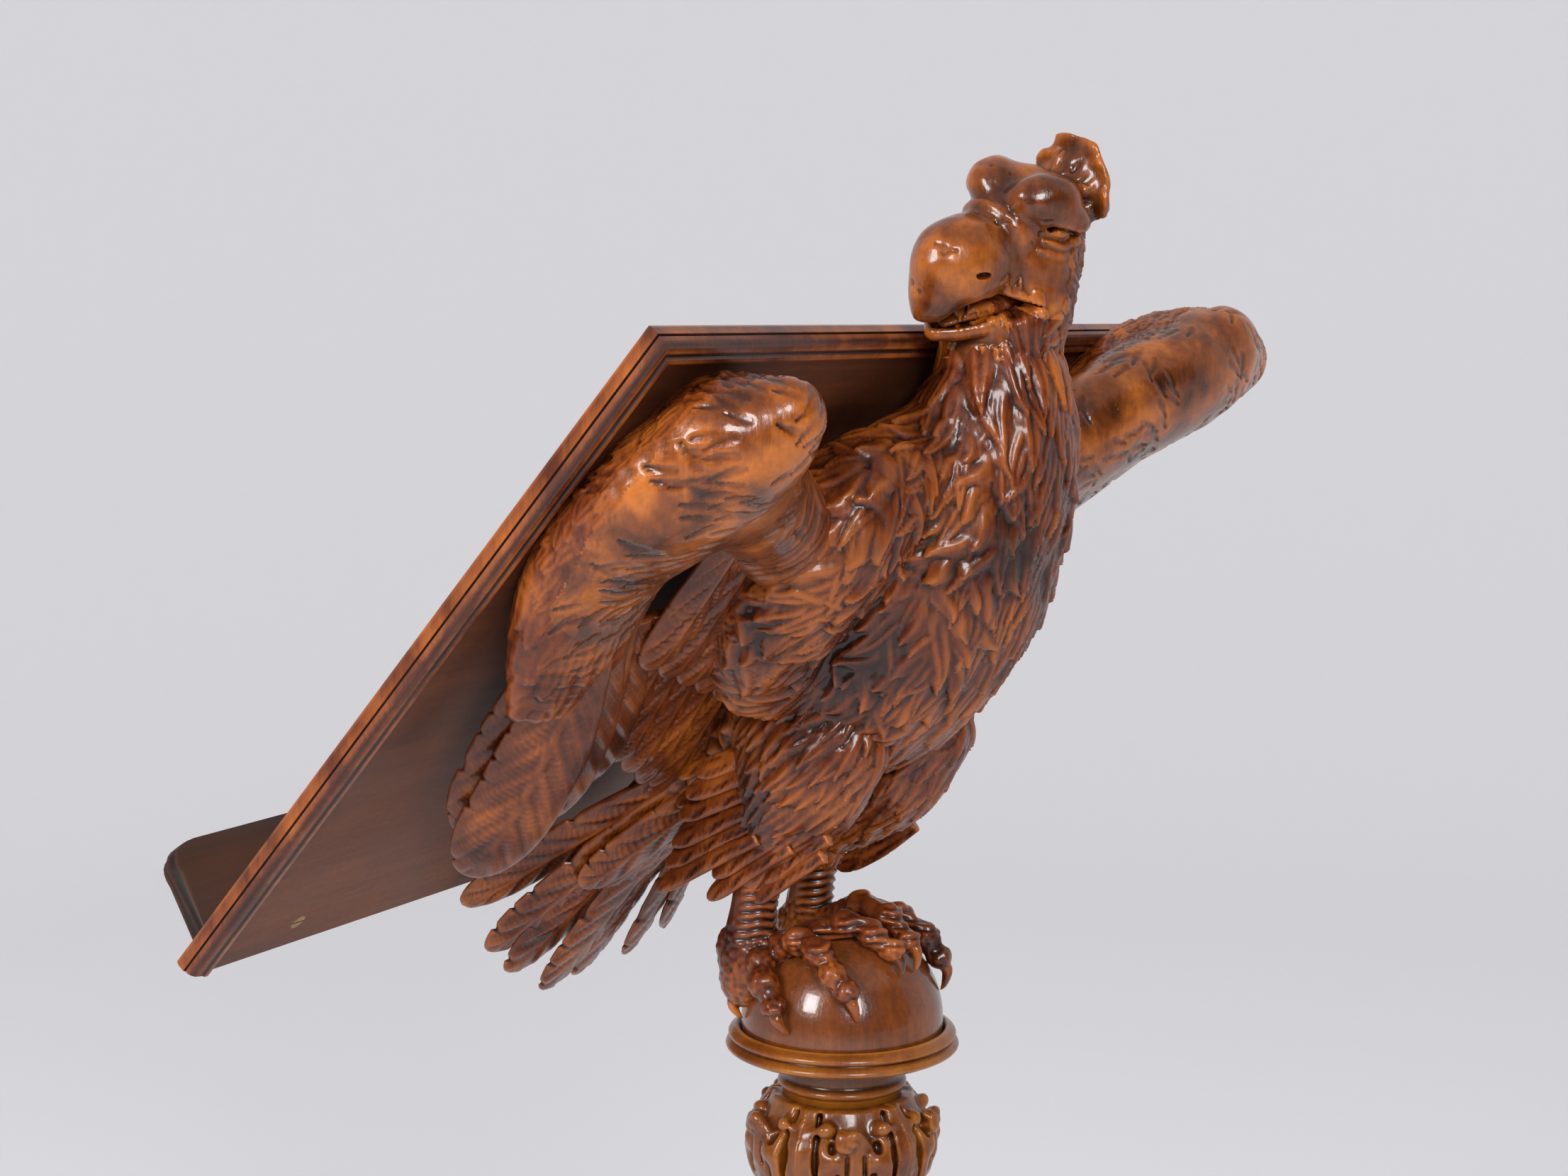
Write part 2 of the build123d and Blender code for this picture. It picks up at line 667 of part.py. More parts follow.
def ledge_screws():
    pitch = (DESK_WIDTH - 150) / (LEDGE_SCREWS - 1)
    first = -pitch * (LEDGE_SCREWS - 1) / 2
    v = ledge_v() + LEDGE_THICK / 2
    return [screw(first + i * pitch, v, PANEL, -1) for i in range(LEDGE_SCREWS)]


def wing_screws(side):
    return [screw(side * u, v, 0, 1) for v, u, *rest in HAND[side][2:4]]


def block_screws():
    u, v = BLOCK_WIDTH / 2 - 12, BLOCK_LENGTH / 2 - 14
    return [screw(x, BLOCK_V + y, 0, 1) for x in (-u, u) for y in (-v, v)]


def desk_screws():
    return wing_screws(-1) + wing_screws(1) + block_screws()


def desk_panel():
    inner = DESK_WIDTH - 2 * MOULD_WIDTH
    length = DESK_LENGTH - MOULD_WIDTH
    board = DESK * Pos(0, -MOULD_WIDTH / 2, PANEL / 2) * Box(inner, length, PANEL)
    board -= book_ledge()
    for peg in desk_screws() + ledge_screws():
        board -= peg
    return board


# --- build -----------------------------------------------------------------------------------


def group(solids):
    return Compound(children=[solid.solid() for solid in solids])


def build():
    """Every piece by its node's name."""
    nodes = {name: leg(angle) for name, angle in LEG_ANGLES.items()}
    nodes["leg_dowels"] = group(leg_dowels())
    nodes["hub"] = hub()
    nodes["pendant"] = pendant()
    nodes["baluster"] = baluster()
    nodes["shaft"] = shaft()
    nodes["knop"] = knop()
    nodes["collar"] = collar()
    nodes["swivel_bush"] = swivel_bush()
    nodes["bearing_washer"] = bearing_washer()
    nodes["swivel_pin"] = swivel_pin()
    nodes["ball"] = ball()

    body = trunk()
    nodes["trunk"] = body
    nodes["neck_and_head"] = neck_and_head()
    nodes["neck_dowel"] = bar(*neck_dowel_ends(), NECK_DOWEL_R)
    nodes["tail"] = tail()
    nodes["tail_dowels"] = group(tail_dowels())
    nodes["back_block"] = back_block()
    for side, name, toes, lead in ((-1, "right", RIGHT_TOES, 0), (1, "left", LEFT_TOES, 16)):
        nodes[f"{name}_foot"] = foot_and_shank(side, toes)
        nodes[f"{name}_leg_rod"] = bar(*rod_ends(side), ROD_R)
        nodes[f"{name}_thigh"] = thigh(side, lead, body)
        blank = wing(side, body)
        for peg in wing_screws(side):
            blank -= peg
        nodes[f"{name}_wing"] = blank
        nodes[f"{name}_wing_dowels"] = group(wing_dowels(side))
        nodes[f"{name}_primaries"] = primaries(side)
        nodes[f"{name}_secondaries"] = secondaries(
            side, body, blank, nodes["back_block"], nodes[f"{name}_primaries"], *wing_dowels(side)
        )
    nodes["left_foot"] -= nodes["right_foot"]

    nodes["desk_panel"] = desk_panel()
    nodes["desk_top_moulding"] = top_moulding()
    nodes["desk_right_moulding"] = side_moulding(-1)
    nodes["desk_left_moulding"] = side_moulding(1)
    nodes["book_ledge"] = book_ledge()
    nodes["ledge_screws"] = group(ledge_screws())
    nodes["desk_screws"] = group(desk_screws())
    return nodes


def main():
    os.makedirs("parts", exist_ok=True)
    for name, piece in build().items():
        export_step(piece, f"parts/{name}.step")


if __name__ == "__main__":
    main()
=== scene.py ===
"""The looks of a carved walnut eagle lectern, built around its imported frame.

Shapes are worked out in millimetres and turned to metres when a mesh is made.
"""
import logging
from dataclasses import dataclass, field
from enum import Enum
from typing import Callable, Optional, Sequence

import bpy
import numpy as np
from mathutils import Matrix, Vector


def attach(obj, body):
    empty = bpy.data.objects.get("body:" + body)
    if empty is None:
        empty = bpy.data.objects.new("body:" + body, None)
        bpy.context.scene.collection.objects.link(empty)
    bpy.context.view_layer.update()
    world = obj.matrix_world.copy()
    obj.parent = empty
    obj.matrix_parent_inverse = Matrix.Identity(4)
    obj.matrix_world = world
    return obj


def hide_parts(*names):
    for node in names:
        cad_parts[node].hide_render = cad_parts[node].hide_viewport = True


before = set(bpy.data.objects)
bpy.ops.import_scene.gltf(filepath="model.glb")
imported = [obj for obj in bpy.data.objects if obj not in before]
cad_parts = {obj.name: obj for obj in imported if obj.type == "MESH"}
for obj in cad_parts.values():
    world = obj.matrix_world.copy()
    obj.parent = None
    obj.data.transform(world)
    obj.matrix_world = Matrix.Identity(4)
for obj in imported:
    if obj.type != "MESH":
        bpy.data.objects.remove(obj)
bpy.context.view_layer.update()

LOG = logging.getLogger("lectern")
MM = 0.001
LATTICE = 32  # cells of a noise before it repeats
FAR = 1e9
TINY = 1e-9
COARSE = 4  # fine steps in one coarse step, when a lump's skin is looked for
SHEET = 9.0  # distance given to the sides of a lump's box, so that its skin closes
WOOD_IOR, COAT_IOR = 1.36, 1.42
GILT = "#c8923c"
Array = np.ndarray
Shape = Callable[[Array], Array]


class Body(str, Enum):
    """The two rigid bodies of the lectern."""

    STAND = "stand"
    TOP = "eagle_top"


def grain(step: float) -> float:
    return step * 1.0


# --- small vector helpers


def unit(v: Array) -> Array:
    """Vectors scaled to length one along the last axis."""
    v = np.asarray(v, float)
    return v / np.maximum(np.linalg.norm(v, axis=-1, keepdims=True), TINY)


def smooth(low: float, high: float, x: Array) -> Array:
    """A smooth 0 to 1 step between two values."""
    t = np.clip((np.asarray(x, float) - low) / (high - low), 0.0, 1.0)
    return t * t * (3.0 - 2.0 * t)


def catmull(points: Sequence[Sequence[float]], per_span: int) -> Array:
    """Rows of numbers blended smoothly between the given rows.

    Args:
        points: rows to pass through; any number of columns.
        per_span: how many steps between two rows.

    Returns:
        The blended rows, the given ones among them.
    """
    p = np.asarray(points, float)
    p = np.vstack([2 * p[0] - p[1], p, 2 * p[-1] - p[-2]])
    rows = []
    for i in range(1, len(p) - 2):
        for t in np.linspace(0, 1, per_span, endpoint=False):
            a, b, c, d = p[i - 1], p[i], p[i + 1], p[i + 2]
            rows.append(0.5 * (2 * b + (c - a) * t + (2 * a - 5 * b + 4 * c - d) * t * t
                               + (3 * b - a - 3 * c + d) * t ** 3))
    rows.append(p[-2])
    return np.array(rows)


class Noise:
    """Smooth value noise on a seeded lattice."""

    def __init__(self, seed: int, size: float) -> None:
        """Make a lattice of random values.

        Args:
            seed: fixes the pattern.
            size: millimetres from one lump to the next.
        """
        self.table = np.random.default_rng(seed).uniform(-1, 1, (LATTICE,) * 3).astype(np.float32)
        self.size = size

    def __call__(self, points: Array) -> Array:
        """The noise at each point, from about -1 to 1."""
        q = points / self.size
        i = np.floor(q).astype(int)
        f = q - i
        f = f * f * (3 - 2 * f)
        total = np.zeros(len(q))
        for dx in (0, 1):
            for dy in (0, 1):
                for dz in (0, 1):
                    w = (np.where(dx, f[:, 0], 1 - f[:, 0]) * np.where(dy, f[:, 1], 1 - f[:, 1])
                         * np.where(dz, f[:, 2], 1 - f[:, 2]))
                    total += w * self.table[tuple(((i + (dx, dy, dz)) % LATTICE).T)]
        return total


# --- carving a lump as a signed distance


@dataclass
class Limb:
    """A rounded limb through stations of (x, y, z, half width, half depth), in millimetres."""

    stations: Sequence[Sequence[float]]
    across: Sequence[float] = (1.0, 0.0, 0.0)
    per_span: int = 4
    square: float = 2.0

    def __call__(self, p: Array) -> Array:
        """Signed distance, negative inside."""
        rows = catmull(self.stations, self.per_span)
        best = np.full(len(p), FAR, np.float32)
        side = np.asarray(self.across, float)
        for a, b in zip(rows[:-1], rows[1:]):
            way = b[:3] - a[:3]
            length = np.linalg.norm(way)
            way = way / length
            wide = unit(side - way * (side @ way))
            deep = np.cross(way, wide)
            rel = p - a[:3]
            along = rel @ way
            t = np.clip(along / length, 0, 1)
            half_w = a[3] + (b[3] - a[3]) * t
            half_d = a[4] + (b[4] - a[4]) * t
            small = np.minimum(half_w, half_d)
            over = (along - t * length) / small
            x, y = np.abs(rel @ wide) / half_w, np.abs(rel @ deep) / half_d
            flat = x ** self.square + y ** self.square
            r = np.sqrt(flat ** (2 / self.square) + over * over)
            best = np.minimum(best, (r - 1) * small)
        return best


@dataclass
class Oval:
    """An ellipsoid, turned so that its rows of axes lie along its radii."""

    middle: Sequence[float]
    radii: Sequence[float]
    axes: Optional[Array] = None

    def __call__(self, p: Array) -> Array:
        """Signed distance, negative inside."""
        rel = p - np.asarray(self.middle, float)
        if self.axes is not None:
            rel = rel @ np.asarray(self.axes, float).T
        radii = np.asarray(self.radii, float)
        k0 = np.linalg.norm(rel / radii, axis=1)
        k1 = np.linalg.norm(rel / radii ** 2, axis=1)
        return k0 * (k0 - 1) / np.maximum(k1, TINY)


@dataclass
class Halfspace:
    """Everything behind a plane: negative where the wood is kept."""

    origin: Sequence[float]
    outward: Sequence[float]

    def __call__(self, p: Array) -> Array:
        """Signed distance, negative on the kept side."""
        return (p - np.asarray(self.origin, float)) @ unit(self.outward)


@dataclass
class Gape:
    """The open mouth: what lies between an upper and a lower edge, in a head's own directions."""

    middle: Sequence[float]
    axes: Array
    upper: Sequence[tuple[float, float]]
    lower: Sequence[tuple[float, float]]

    def __call__(self, p: Array) -> Array:
        """Signed distance, negative in the opening."""
        q = (p - np.asarray(self.middle, float)) @ self.axes.T
        top = np.interp(q[:, 0], *np.transpose(self.upper))
        bottom = np.interp(q[:, 0], *np.transpose(self.lower))
        inside = np.maximum(q[:, 2] - top, bottom - q[:, 2])
        return 0.75 * np.maximum(inside, self.upper[0][0] - q[:, 0])


def enlarged(block: Array, ratio: int) -> Array:
    """A block of values with each one repeated along all three sides."""
    for axis in range(3):
        block = np.repeat(block, ratio, axis)
    return block


class Clay:
    """A lump that is built up and cut away with soft joints."""

    def __init__(self, low: Sequence[float], high: Sequence[float]) -> None:
        """Start an empty lump inside a box in millimetres."""
        self.low, self.high = np.asarray(low, float), np.asarray(high, float)
        self.steps: list[tuple[str, Shape, float]] = []

    def add(self, shape: Shape, soft: float = 6.0) -> "Clay":
        """Add wood, blended over a soft distance."""
        self.steps.append(("add", shape, soft))
        return self

    def cut(self, shape: Shape, soft: float = 3.0) -> "Clay":
        """Take away a shape, with a soft rim."""
        self.steps.append(("cut", shape, soft))
        return self

    def keep(self, shape: Shape, soft: float = 1.0) -> "Clay":
        """Keep only what is inside a shape."""
        self.steps.append(("keep", shape, soft))
        return self

    def at(self, p: Array) -> Array:
        """Signed distance of the whole lump."""
        d = np.full(len(p), 1e3)
        for kind, shape, soft in self.steps:
            e = shape(p)
            sign = 1.0 if kind == "add" else -1.0
            a, b = sign * d, sign * (e if kind in ("add", "keep") else -e)
            h = np.maximum(soft - np.abs(a - b), 0) / soft
            d = sign * (np.minimum(a, b) - h * h * soft / 4)
        return d

    def skin(self, step: float) -> tuple[Array, Array]:
        """The lump's surface as points and four-sided faces.

        Args:
            step: distance between points, in millimetres.

        Returns:
            Points in millimetres and faces as rows of four indices.
        """
        ratio = COARSE
        cells = np.ceil((self.high - self.low) / (step * ratio)).astype(int) + 1
        axes = [self.low[i] + np.arange(cells[i] + 1) * step * ratio for i in range(3)]
        grid = np.stack(np.meshgrid(*axes, indexing="ij"), -1).reshape(-1, 3)
        coarse = self.at(grid).reshape(cells + 1).astype(np.float32)
        fine = enlarged(coarse[:-1, :-1, :-1], ratio)
        near = np.abs(coarse) < step * ratio * 1.9
        block = np.zeros(cells, bool)
        for dx in (0, 1):
            for dy in (0, 1):
                for dz in (0, 1):
                    block |= near[dx:dx + cells[0], dy:dy + cells[1], dz:dz + cells[2]]
        mask = enlarged(block, ratio)
        where = np.argwhere(mask)
        fine[mask] = self.at(self.low + where * step)
        fine[0], fine[-1], fine[:, 0], fine[:, -1], fine[:, :, 0], fine[:, :, -1] = (SHEET,) * 6
        return surface_net(fine, self.low, step)


def surface_net(field_: Array, low: Array, step: float) -> tuple[Array, Array]:
    """A quad mesh of a field's zero surface, one point in each crossed cell."""
    inside = field_ < 0
    shape = np.array(field_.shape) - 1
    count = np.zeros(shape, np.uint8)
    corners = [(x, y, z) for x in (0, 1) for y in (0, 1) for z in (0, 1)]
    for x, y, z in corners:
        count += inside[x:x + shape[0], y:y + shape[1], z:z + shape[2]]
    active = (count > 0) & (count < 8)
    cell = np.argwhere(active)
    ids = np.full(shape, -1, np.int64)
    ids[active] = np.arange(len(cell))
    total, hits = np.zeros((len(cell), 3)), np.zeros(len(cell))
    axes = np.eye(3, dtype=int)
    for axis, e in enumerate(axes):
        for corner in corners:
            if corner[axis]:
                continue
            i, j = cell + corner, cell + corner + e
            a, b = field_[tuple(i.T)], field_[tuple(j.T)]
            cross = (a < 0) != (b < 0)
            t = np.where(cross, a / np.where(cross, a - b, 1), 0)
            total += np.where(cross[:, None], np.array(corner) + t[:, None] * e, 0)
            hits += cross
    points = low + (cell + total / hits[:, None]) * step
    faces = []
    for axis in range(3):
        first, second = (axis + 1) % 3, (axis + 2) % 3
        u, v = axes[first], axes[second]
        a = inside[tuple(slice(0, -1) if k == axis else slice(0, None) for k in range(3))]
        b = inside[tuple(slice(1, None) if k == axis else slice(0, None) for k in range(3))]
        at = np.argwhere(a != b)
        ok = (at[:, first] > 0) & (at[:, second] > 0)
        ok &= (at[:, first] < shape[first]) & (at[:, second] < shape[second])
        at = at[ok]
        flip = ~a[tuple(at.T)]
        quad = np.stack([ids[tuple((at - u - v).T)], ids[tuple((at - v).T)],
                         ids[tuple(at.T)], ids[tuple((at - u).T)]], 1)
        quad[flip] = quad[flip][:, ::-1]
        faces.append(quad)
    return points, np.vstack(faces)


# --- surface of a mesh


class Surface:
    """Points and faces with normals and neighbours, in millimetres."""

    def __init__(self, points: Array, faces: Array) -> None:
        """Keep a mesh and work out what its points share."""
        self.points, self.faces = points, faces
        rolled = np.roll(faces, -1, axis=1)
        pairs = np.stack([faces.ravel(), rolled.ravel()], 1)
        self.pairs = pairs
        self.degree = np.maximum(np.bincount(pairs[:, 0], minlength=len(points))
                                 + np.bincount(pairs[:, 1], minlength=len(points)), 1)

    def normals(self) -> Array:
        """Unit normals at the points."""
        q = self.points[self.faces]
        n = np.cross(q[:, 2] - q[:, 0], q[:, -1] - q[:, 1])
        total = np.zeros_like(self.points)
        for k in range(self.faces.shape[1]):
            for axis in range(3):
                total[:, axis] += np.bincount(self.faces[:, k], n[:, axis], len(self.points))
        return unit(total)

    def blur(self, values: Array, times: int) -> Array:
        """Values averaged with their neighbours', several times over."""
        v = values.reshape(len(values), -1).astype(float)
        a, b = self.pairs[:, 0], self.pairs[:, 1]
        for _ in range(times):
            total = np.stack([np.bincount(a, v[b, c], len(v)) + np.bincount(b, v[a, c], len(v))
                              for c in range(v.shape[1])], 1)
            v = 0.5 * v + 0.5 * total / self.degree[:, None]
        return v.reshape(values.shape)

    def relief(self, times: int, depth: float) -> Array:
        """How far each point stands out of its smoothed surroundings, about -1 to 1."""
        away = self.points - self.blur(self.points, times)
        return np.clip(np.einsum("ij,ij->i", away, self.normals()) / depth, -1, 1)


# --- plumage


@dataclass(frozen=True)
class Tuft:
    """One kind of carved feather. Lengths in millimetres."""

    length: float
    width: float
    lift: float
    spacing: float
    strands: float = 3.0
    groove: float = 0.9
    wave: float = 0.0
    bend: float = 0.0
    stray: float = 0.2
    point: float = 0.7


class Plumage:
    """Overlapping feathers carved into a surface, each lying over the root of the next."""

    def __init__(self, surface: Surface, seed: int) -> None:
        """Start with a bare surface."""
        self.surface = surface
        self.rng = np.random.default_rng(seed)
        self.height = np.zeros(len(surface.points))
        self.barb = np.zeros(len(surface.points))

    def seeds(self, spacing: Array, chance: Array) -> Array:
        """Points spread evenly over the surface.

        Args:
            spacing: the least distance to the next, at every point.
            chance: 0 where no feather grows, up to 1 where all do.

        Returns:
            Indices of the chosen points.
        """
        p = self.surface.points
        order = self.rng.permutation(np.flatnonzero(chance > self.rng.uniform(0.001, 1, len(p))))
        taken: list[int] = []
        places = np.zeros((0, 3))
        for i in order[:26000]:
            if len(places) and np.min(((places - p[i]) ** 2).sum(1)) < spacing[i] ** 2:
                continue
            taken.append(i)
            places = np.vstack([places, p[i]])
        return np.array(taken, int)

    def lay(self, tuft: Tuft, flow: Array, chance: Array, scale: Optional[Array] = None) -> None:
        """Carve one kind of feather wherever it grows.

        Args:
            tuft: the feather.
            flow: the way feathers point, at every surface point.
            chance: where they grow, 0 to 1.
            scale: size factor at every point, or None for one size.
        """
        p, n = self.surface.points, self.surface.normals()
        scale = np.ones(len(p)) if scale is None else scale
        for i in self.seeds(tuft.spacing * scale, chance):
            size = scale[i] * self.rng.uniform(0.85, 1.18)
            length, width = tuft.length * size, tuft.width * size
            near = np.flatnonzero(((p - p[i]) ** 2).sum(1) < (1.15 * length) ** 2)
            near = near[(n[near] @ n[i]) > 0.25]
            way = flow[i] - n[i] * (flow[i] @ n[i])
            side = np.cross(n[i], unit(way))
            way = unit(unit(way) + side * self.rng.normal(0, tuft.stray))
            side = np.cross(n[i], way)
            rel = p[near] - p[i]
            s = rel @ way / length + 0.15
            t = rel @ side / (0.5 * width)
            phase = self.rng.uniform(0, 2 * np.pi)
            t = t - tuft.bend * self.rng.choice([-1, 1]) * self.rng.uniform(0.3, 1) * s * s
            t = t - tuft.wave * np.sin(2 * np.pi * 0.9 * s + phase)
            body = np.clip(s, 0, 1)
            outline = np.sqrt(np.clip(body * 5, 0, 1)) * (1 - body ** (2.2 + 2 * (1 - tuft.point))) ** (
                0.5 + 0.4 * tuft.point)
            inside = (s > 0) & (s < 1) & (np.abs(t) < outline)
            if not inside.any():
                continue
            near, s, t, outline = near[inside], s[inside], t[inside], outline[inside]
            x = t / np.maximum(outline, 0.05)
            dome = np.clip(1 - x * x, 0, 1) ** 0.45
            lines = 0.5 + 0.5 * np.cos(np.pi * tuft.strands * (x + 1) + np.pi)
            h = tuft.lift * size * (0.3 + 0.7 * s) * dome
            h -= tuft.groove * size * lines * smooth(0.05, 0.4, s) * dome
            higher = h > self.height[near]
            self.height[near[higher]] = h[higher]
            self.barb[near[higher]] = (s + 0.6 * np.abs(x))[higher]

    def carve(self) -> Surface:
        """The surface pushed out by its feathers."""
        s = self.surface
        s.points = s.points + s.normals() * self.height[:, None]
        return s


# --- meshes


def rings(count: int, around: int) -> tuple[Array, Array]:
    """Number the points of closed rings, and span each ring to the next with four-sided faces."""
    grid = np.arange(count * around).reshape(count, around)
    after = np.roll(grid, -1, axis=1)
    return grid, np.stack([grid[:-1], after[:-1], after[1:], grid[1:]], -1).reshape(-1, 4)


def make_object(name: str, surface: Surface,
                extra: Optional[dict[str, Array]] = None) -> bpy.types.Object:
    """A Blender mesh in metres with its carving stored on its points.

    Args:
        name: the piece's name.
        surface: points and faces in millimetres.
        extra: more values for each point, by name.

    Returns:
        The linked object.
    """
    mesh = bpy.data.meshes.new(name)
    points, faces = surface.points * MM, surface.faces
    mesh.vertices.add(len(points))
    mesh.vertices.foreach_set("co", points.astype(np.float32).ravel())
    mesh.loops.add(faces.size)
    mesh.loops.foreach_set("vertex_index", faces.astype(np.int32).ravel())
    mesh.polygons.add(len(faces))
    mesh.polygons.foreach_set("loop_start", np.arange(0, faces.size, faces.shape[1], dtype=np.int32))
    mesh.polygons.foreach_set("use_smooth", np.ones(len(faces), bool))
    mesh.update(calc_edges=True)
    mesh.validate()
    for key, values in (extra or {}).items():
        layer = mesh.attributes.new(key, "FLOAT", "POINT")
        layer.data.foreach_set("value", values.astype(np.float32))
    thing = bpy.data.objects.new(name, mesh)
    bpy.context.scene.collection.objects.link(thing)
    return thing


def joined(parts: Sequence[tuple[Array, Array]]) -> Surface:
    """Several closed lumps as one surface."""
    points, faces, start = [], [], 0
    for p, f in parts:
        points.append(p)
        faces.append(f + start)
        start += len(p)
    return Surface(np.vstack(points), np.vstack(faces))


def carved_object(name: str, surface: Surface, blur: int = 6, depth: float = 1.0,
                  barb: Optional[Array] = None) -> bpy.types.Object:
    """An object whose hollows and ridges are stored for the finish's painted shade and highlight."""
    extra = {"relief": surface.relief(blur, depth)}
    extra["barb"] = np.zeros(len(surface.points)) if barb is None else barb
    return make_object(name, surface, extra)


# --- desk coordinates

SLOPE = np.radians(48.5)
UP_SLOPE = np.array([0, -np.cos(SLOPE), np.sin(SLOPE)])
UNDER = np.array([0, -np.sin(SLOPE), -np.cos(SLOPE)])
DESK_MIDDLE = np.array([0, 89.5, 1267.0])
DESK_WIDTH, DESK_LENGTH, PANEL = 650.0, 464.0, 12.5


def desk(u: float, v: float, w: float) -> Array:
    """A point u across, v up the slope and w below the reading face, in millimetres."""
    return DESK_MIDDLE + np.array([u, 0, 0]) + v * UP_SLOPE + w * UNDER


# --- feather blades


@dataclass
class Blade:
    """A long carved flight feather with a rib, slanting barbs and a notched edge. Millimetres."""

    root: Array
    tip: Array
    face: Array
    width: float
    thick: float = 5.0
    sag: float = 0.0
    sweep: float = 0.0
    notches: float = 2.5
    root_width: float = 0.6
    seed: int = 1
    along: int = 108
    across: int = 25

    def mesh(self) -> tuple[Array, Array]:
        """The closed blade as points and four-sided faces."""
        rng = np.random.default_rng(self.seed)
        root, tip = np.asarray(self.root, float), np.asarray(self.tip, float)
        length = np.linalg.norm(tip - root)
        way = (tip - root) / length
        side = unit(np.cross(way, self.face))
        out = np.cross(side, way)
        nu, nv = self.along, self.across
        s = np.linspace(0, 1, nu)[:, None]
        t = np.sin(np.linspace(-np.pi / 2, np.pi / 2, nv))[None, :]
        half = 0.5 * self.width * (self.root_width + (1 - self.root_width) * smooth(0, 0.55, s))
        half = half * np.sqrt(np.clip(1 - np.clip((s - 0.72) / 0.28, 0, 1) ** 2.2, 0, 1))
        phase = rng.uniform(0, 6, 4)
        saw = (s * length / 26 + 0.35 * np.sin(2.1 * s * 6 + phase[0])) % 1
        notch = self.notches * smooth(0.72, 1.0, saw) * smooth(0.3, 0.5, s) * smooth(0.3, 1, np.abs(t))
        half = np.maximum(half - notch * (0.5 + 0.5 * np.sign(t + 0.2 * np.sin(9 * s))), 0.15)
        line = (self.sweep * np.sin(np.pi * s) * (1 - 0.3 * s))
        x = line + half * t
        fall = self.sag * s * s
        camber = 0.16 * half * (1 - t * t)
        rib = 1.5 * np.exp(-(half * t / 1.5) ** 2) * (1 - 0.8 * s)
        run = s * length - 1.7 * np.abs(half * t) + 2.5 * np.sin(s * 9 + phase[1] + 1.5 * t)
        barbs = 0.20 * np.sin(2 * np.pi * run / 4.6) + 0.20 * np.sin(2 * np.pi * run / 11.5 + phase[3])
        barbs = barbs + 0.6 * np.sin(2 * np.pi * (run + 3 * np.sin(s * 5 + phase[0])) / 23 + phase[2])
        barbs = barbs * smooth(1.4, 4, np.abs(half * t)) * (1 - np.abs(t) ** 6) * smooth(0.02, 0.1, s)
        edge = np.sqrt(np.clip(1 - t ** 8, 0, 1)) * np.sqrt(np.clip(1 - s ** 24, 0, 1)) + 0.02
        deep = 0.5 * self.thick * (1 - 0.45 * s) * edge
        rows = []
        for sign in (1, -1):
            z = camber - fall + sign * (deep + (rib + barbs) * edge)
            p = (root + way * (s * length)[..., None] + side * x[..., None] + out * z[..., None])
            rows.append(p.reshape(-1, 3))
        points = np.vstack(rows)
        grid = np.arange(nu * nv).reshape(nu, nv)
        top = np.stack([grid[:-1, :-1], grid[1:, :-1], grid[1:, 1:], grid[:-1, 1:]], -1).reshape(-1, 4)
        back = top[:, ::-1] + nu * nv
        low = nu * nv
        rim = np.concatenate([grid[0, :], grid[1:, -1], grid[-1, -2::-1], grid[-2:0:-1, 0]])
        after = np.roll(rim, -1)
        wall = np.stack([rim, after, after + low, rim + low], 1)
        faces = np.vstack([top, back, wall])
        return outward(points, faces)


def outward(points: Array, faces: Array) -> tuple[Array, Array]:
    """The same closed mesh with its faces pointing outwards."""
    q = points[faces]
    n = np.cross(q[:, 2] - q[:, 0], q[:, -1] - q[:, 1])
    if np.einsum("ij,ij->", q.mean(1) - points.mean(0), n) < 0:
        faces = faces[:, ::-1]
    return points, faces


# --- turned pieces


def lathe(profile: Sequence[tuple[float, float]], turns: int = 144) -> Surface:
    """A closed turning about Z.

    Args:
        profile: (radius, height) rows from the axis round to the axis again.
        turns: how many steps in the circle.

    Returns:
        The surface, with poles closed by a tight ring.
    """
    rows = np.asarray(profile, float)
    angle = np.linspace(0, 2 * np.pi, turns, endpoint=False)
    radius = np.maximum(rows[:, :1], 0.02) + np.zeros((1, turns))
    p = np.stack([radius * np.cos(angle), radius * np.sin(angle), rows[:, 1:] + 0 * radius], -1)
    grid, faces = rings(len(rows), turns)
    return Surface(*outward(p.reshape(-1, 3), close_caps(faces, grid[0], grid[-1])))


def close_caps(faces: Array, first: Array, last: Array) -> Array:
    """Close two end rings with strips of four-sided faces."""
    caps = []
    for ring, flip in ((first, False), (last, True)):
        n = len(ring)
        for i in range(n // 2 - 1):
            quad = [ring[i], ring[n - 1 - i], ring[n - 2 - i], ring[i + 1]]
            caps.append(quad[::-1] if flip else quad)
    return np.vstack([faces, np.array(caps)])


def arc(start: tuple[float, float], mid: tuple[float, float], end: tuple[float, float],
        steps: int = 9) -> list[tuple[float, float]]:
    """Points on a smooth bend from start through mid to end, without the start."""
    a, m, b = (np.asarray(q, float) for q in (start, mid, end))
    c = 2 * m - 0.5 * (a + b)
    return [tuple((1 - t) ** 2 * a + 2 * t * (1 - t) * c + t * t * b)
            for t in np.linspace(0, 1, steps + 1)[1:]]


def outline(start: tuple[float, float], *steps: Sequence[float]) -> list[tuple[float, float]]:
    """A profile of straight runs (two numbers) and bends (middle and end, four numbers)."""
    rows = [start]
    for step in steps:
        if len(step) == 2:
            a, b = np.asarray(rows[-1], float), np.asarray(step, float)
            count = max(1, int(np.linalg.norm(b - a) // 12))
            rows += [tuple(a + (b - a) * k / count) for k in range(1, count + 1)]
        else:
            rows += arc(rows[-1], (step[0], step[1]), (step[2], step[3]))
    return rows


# --- finishes


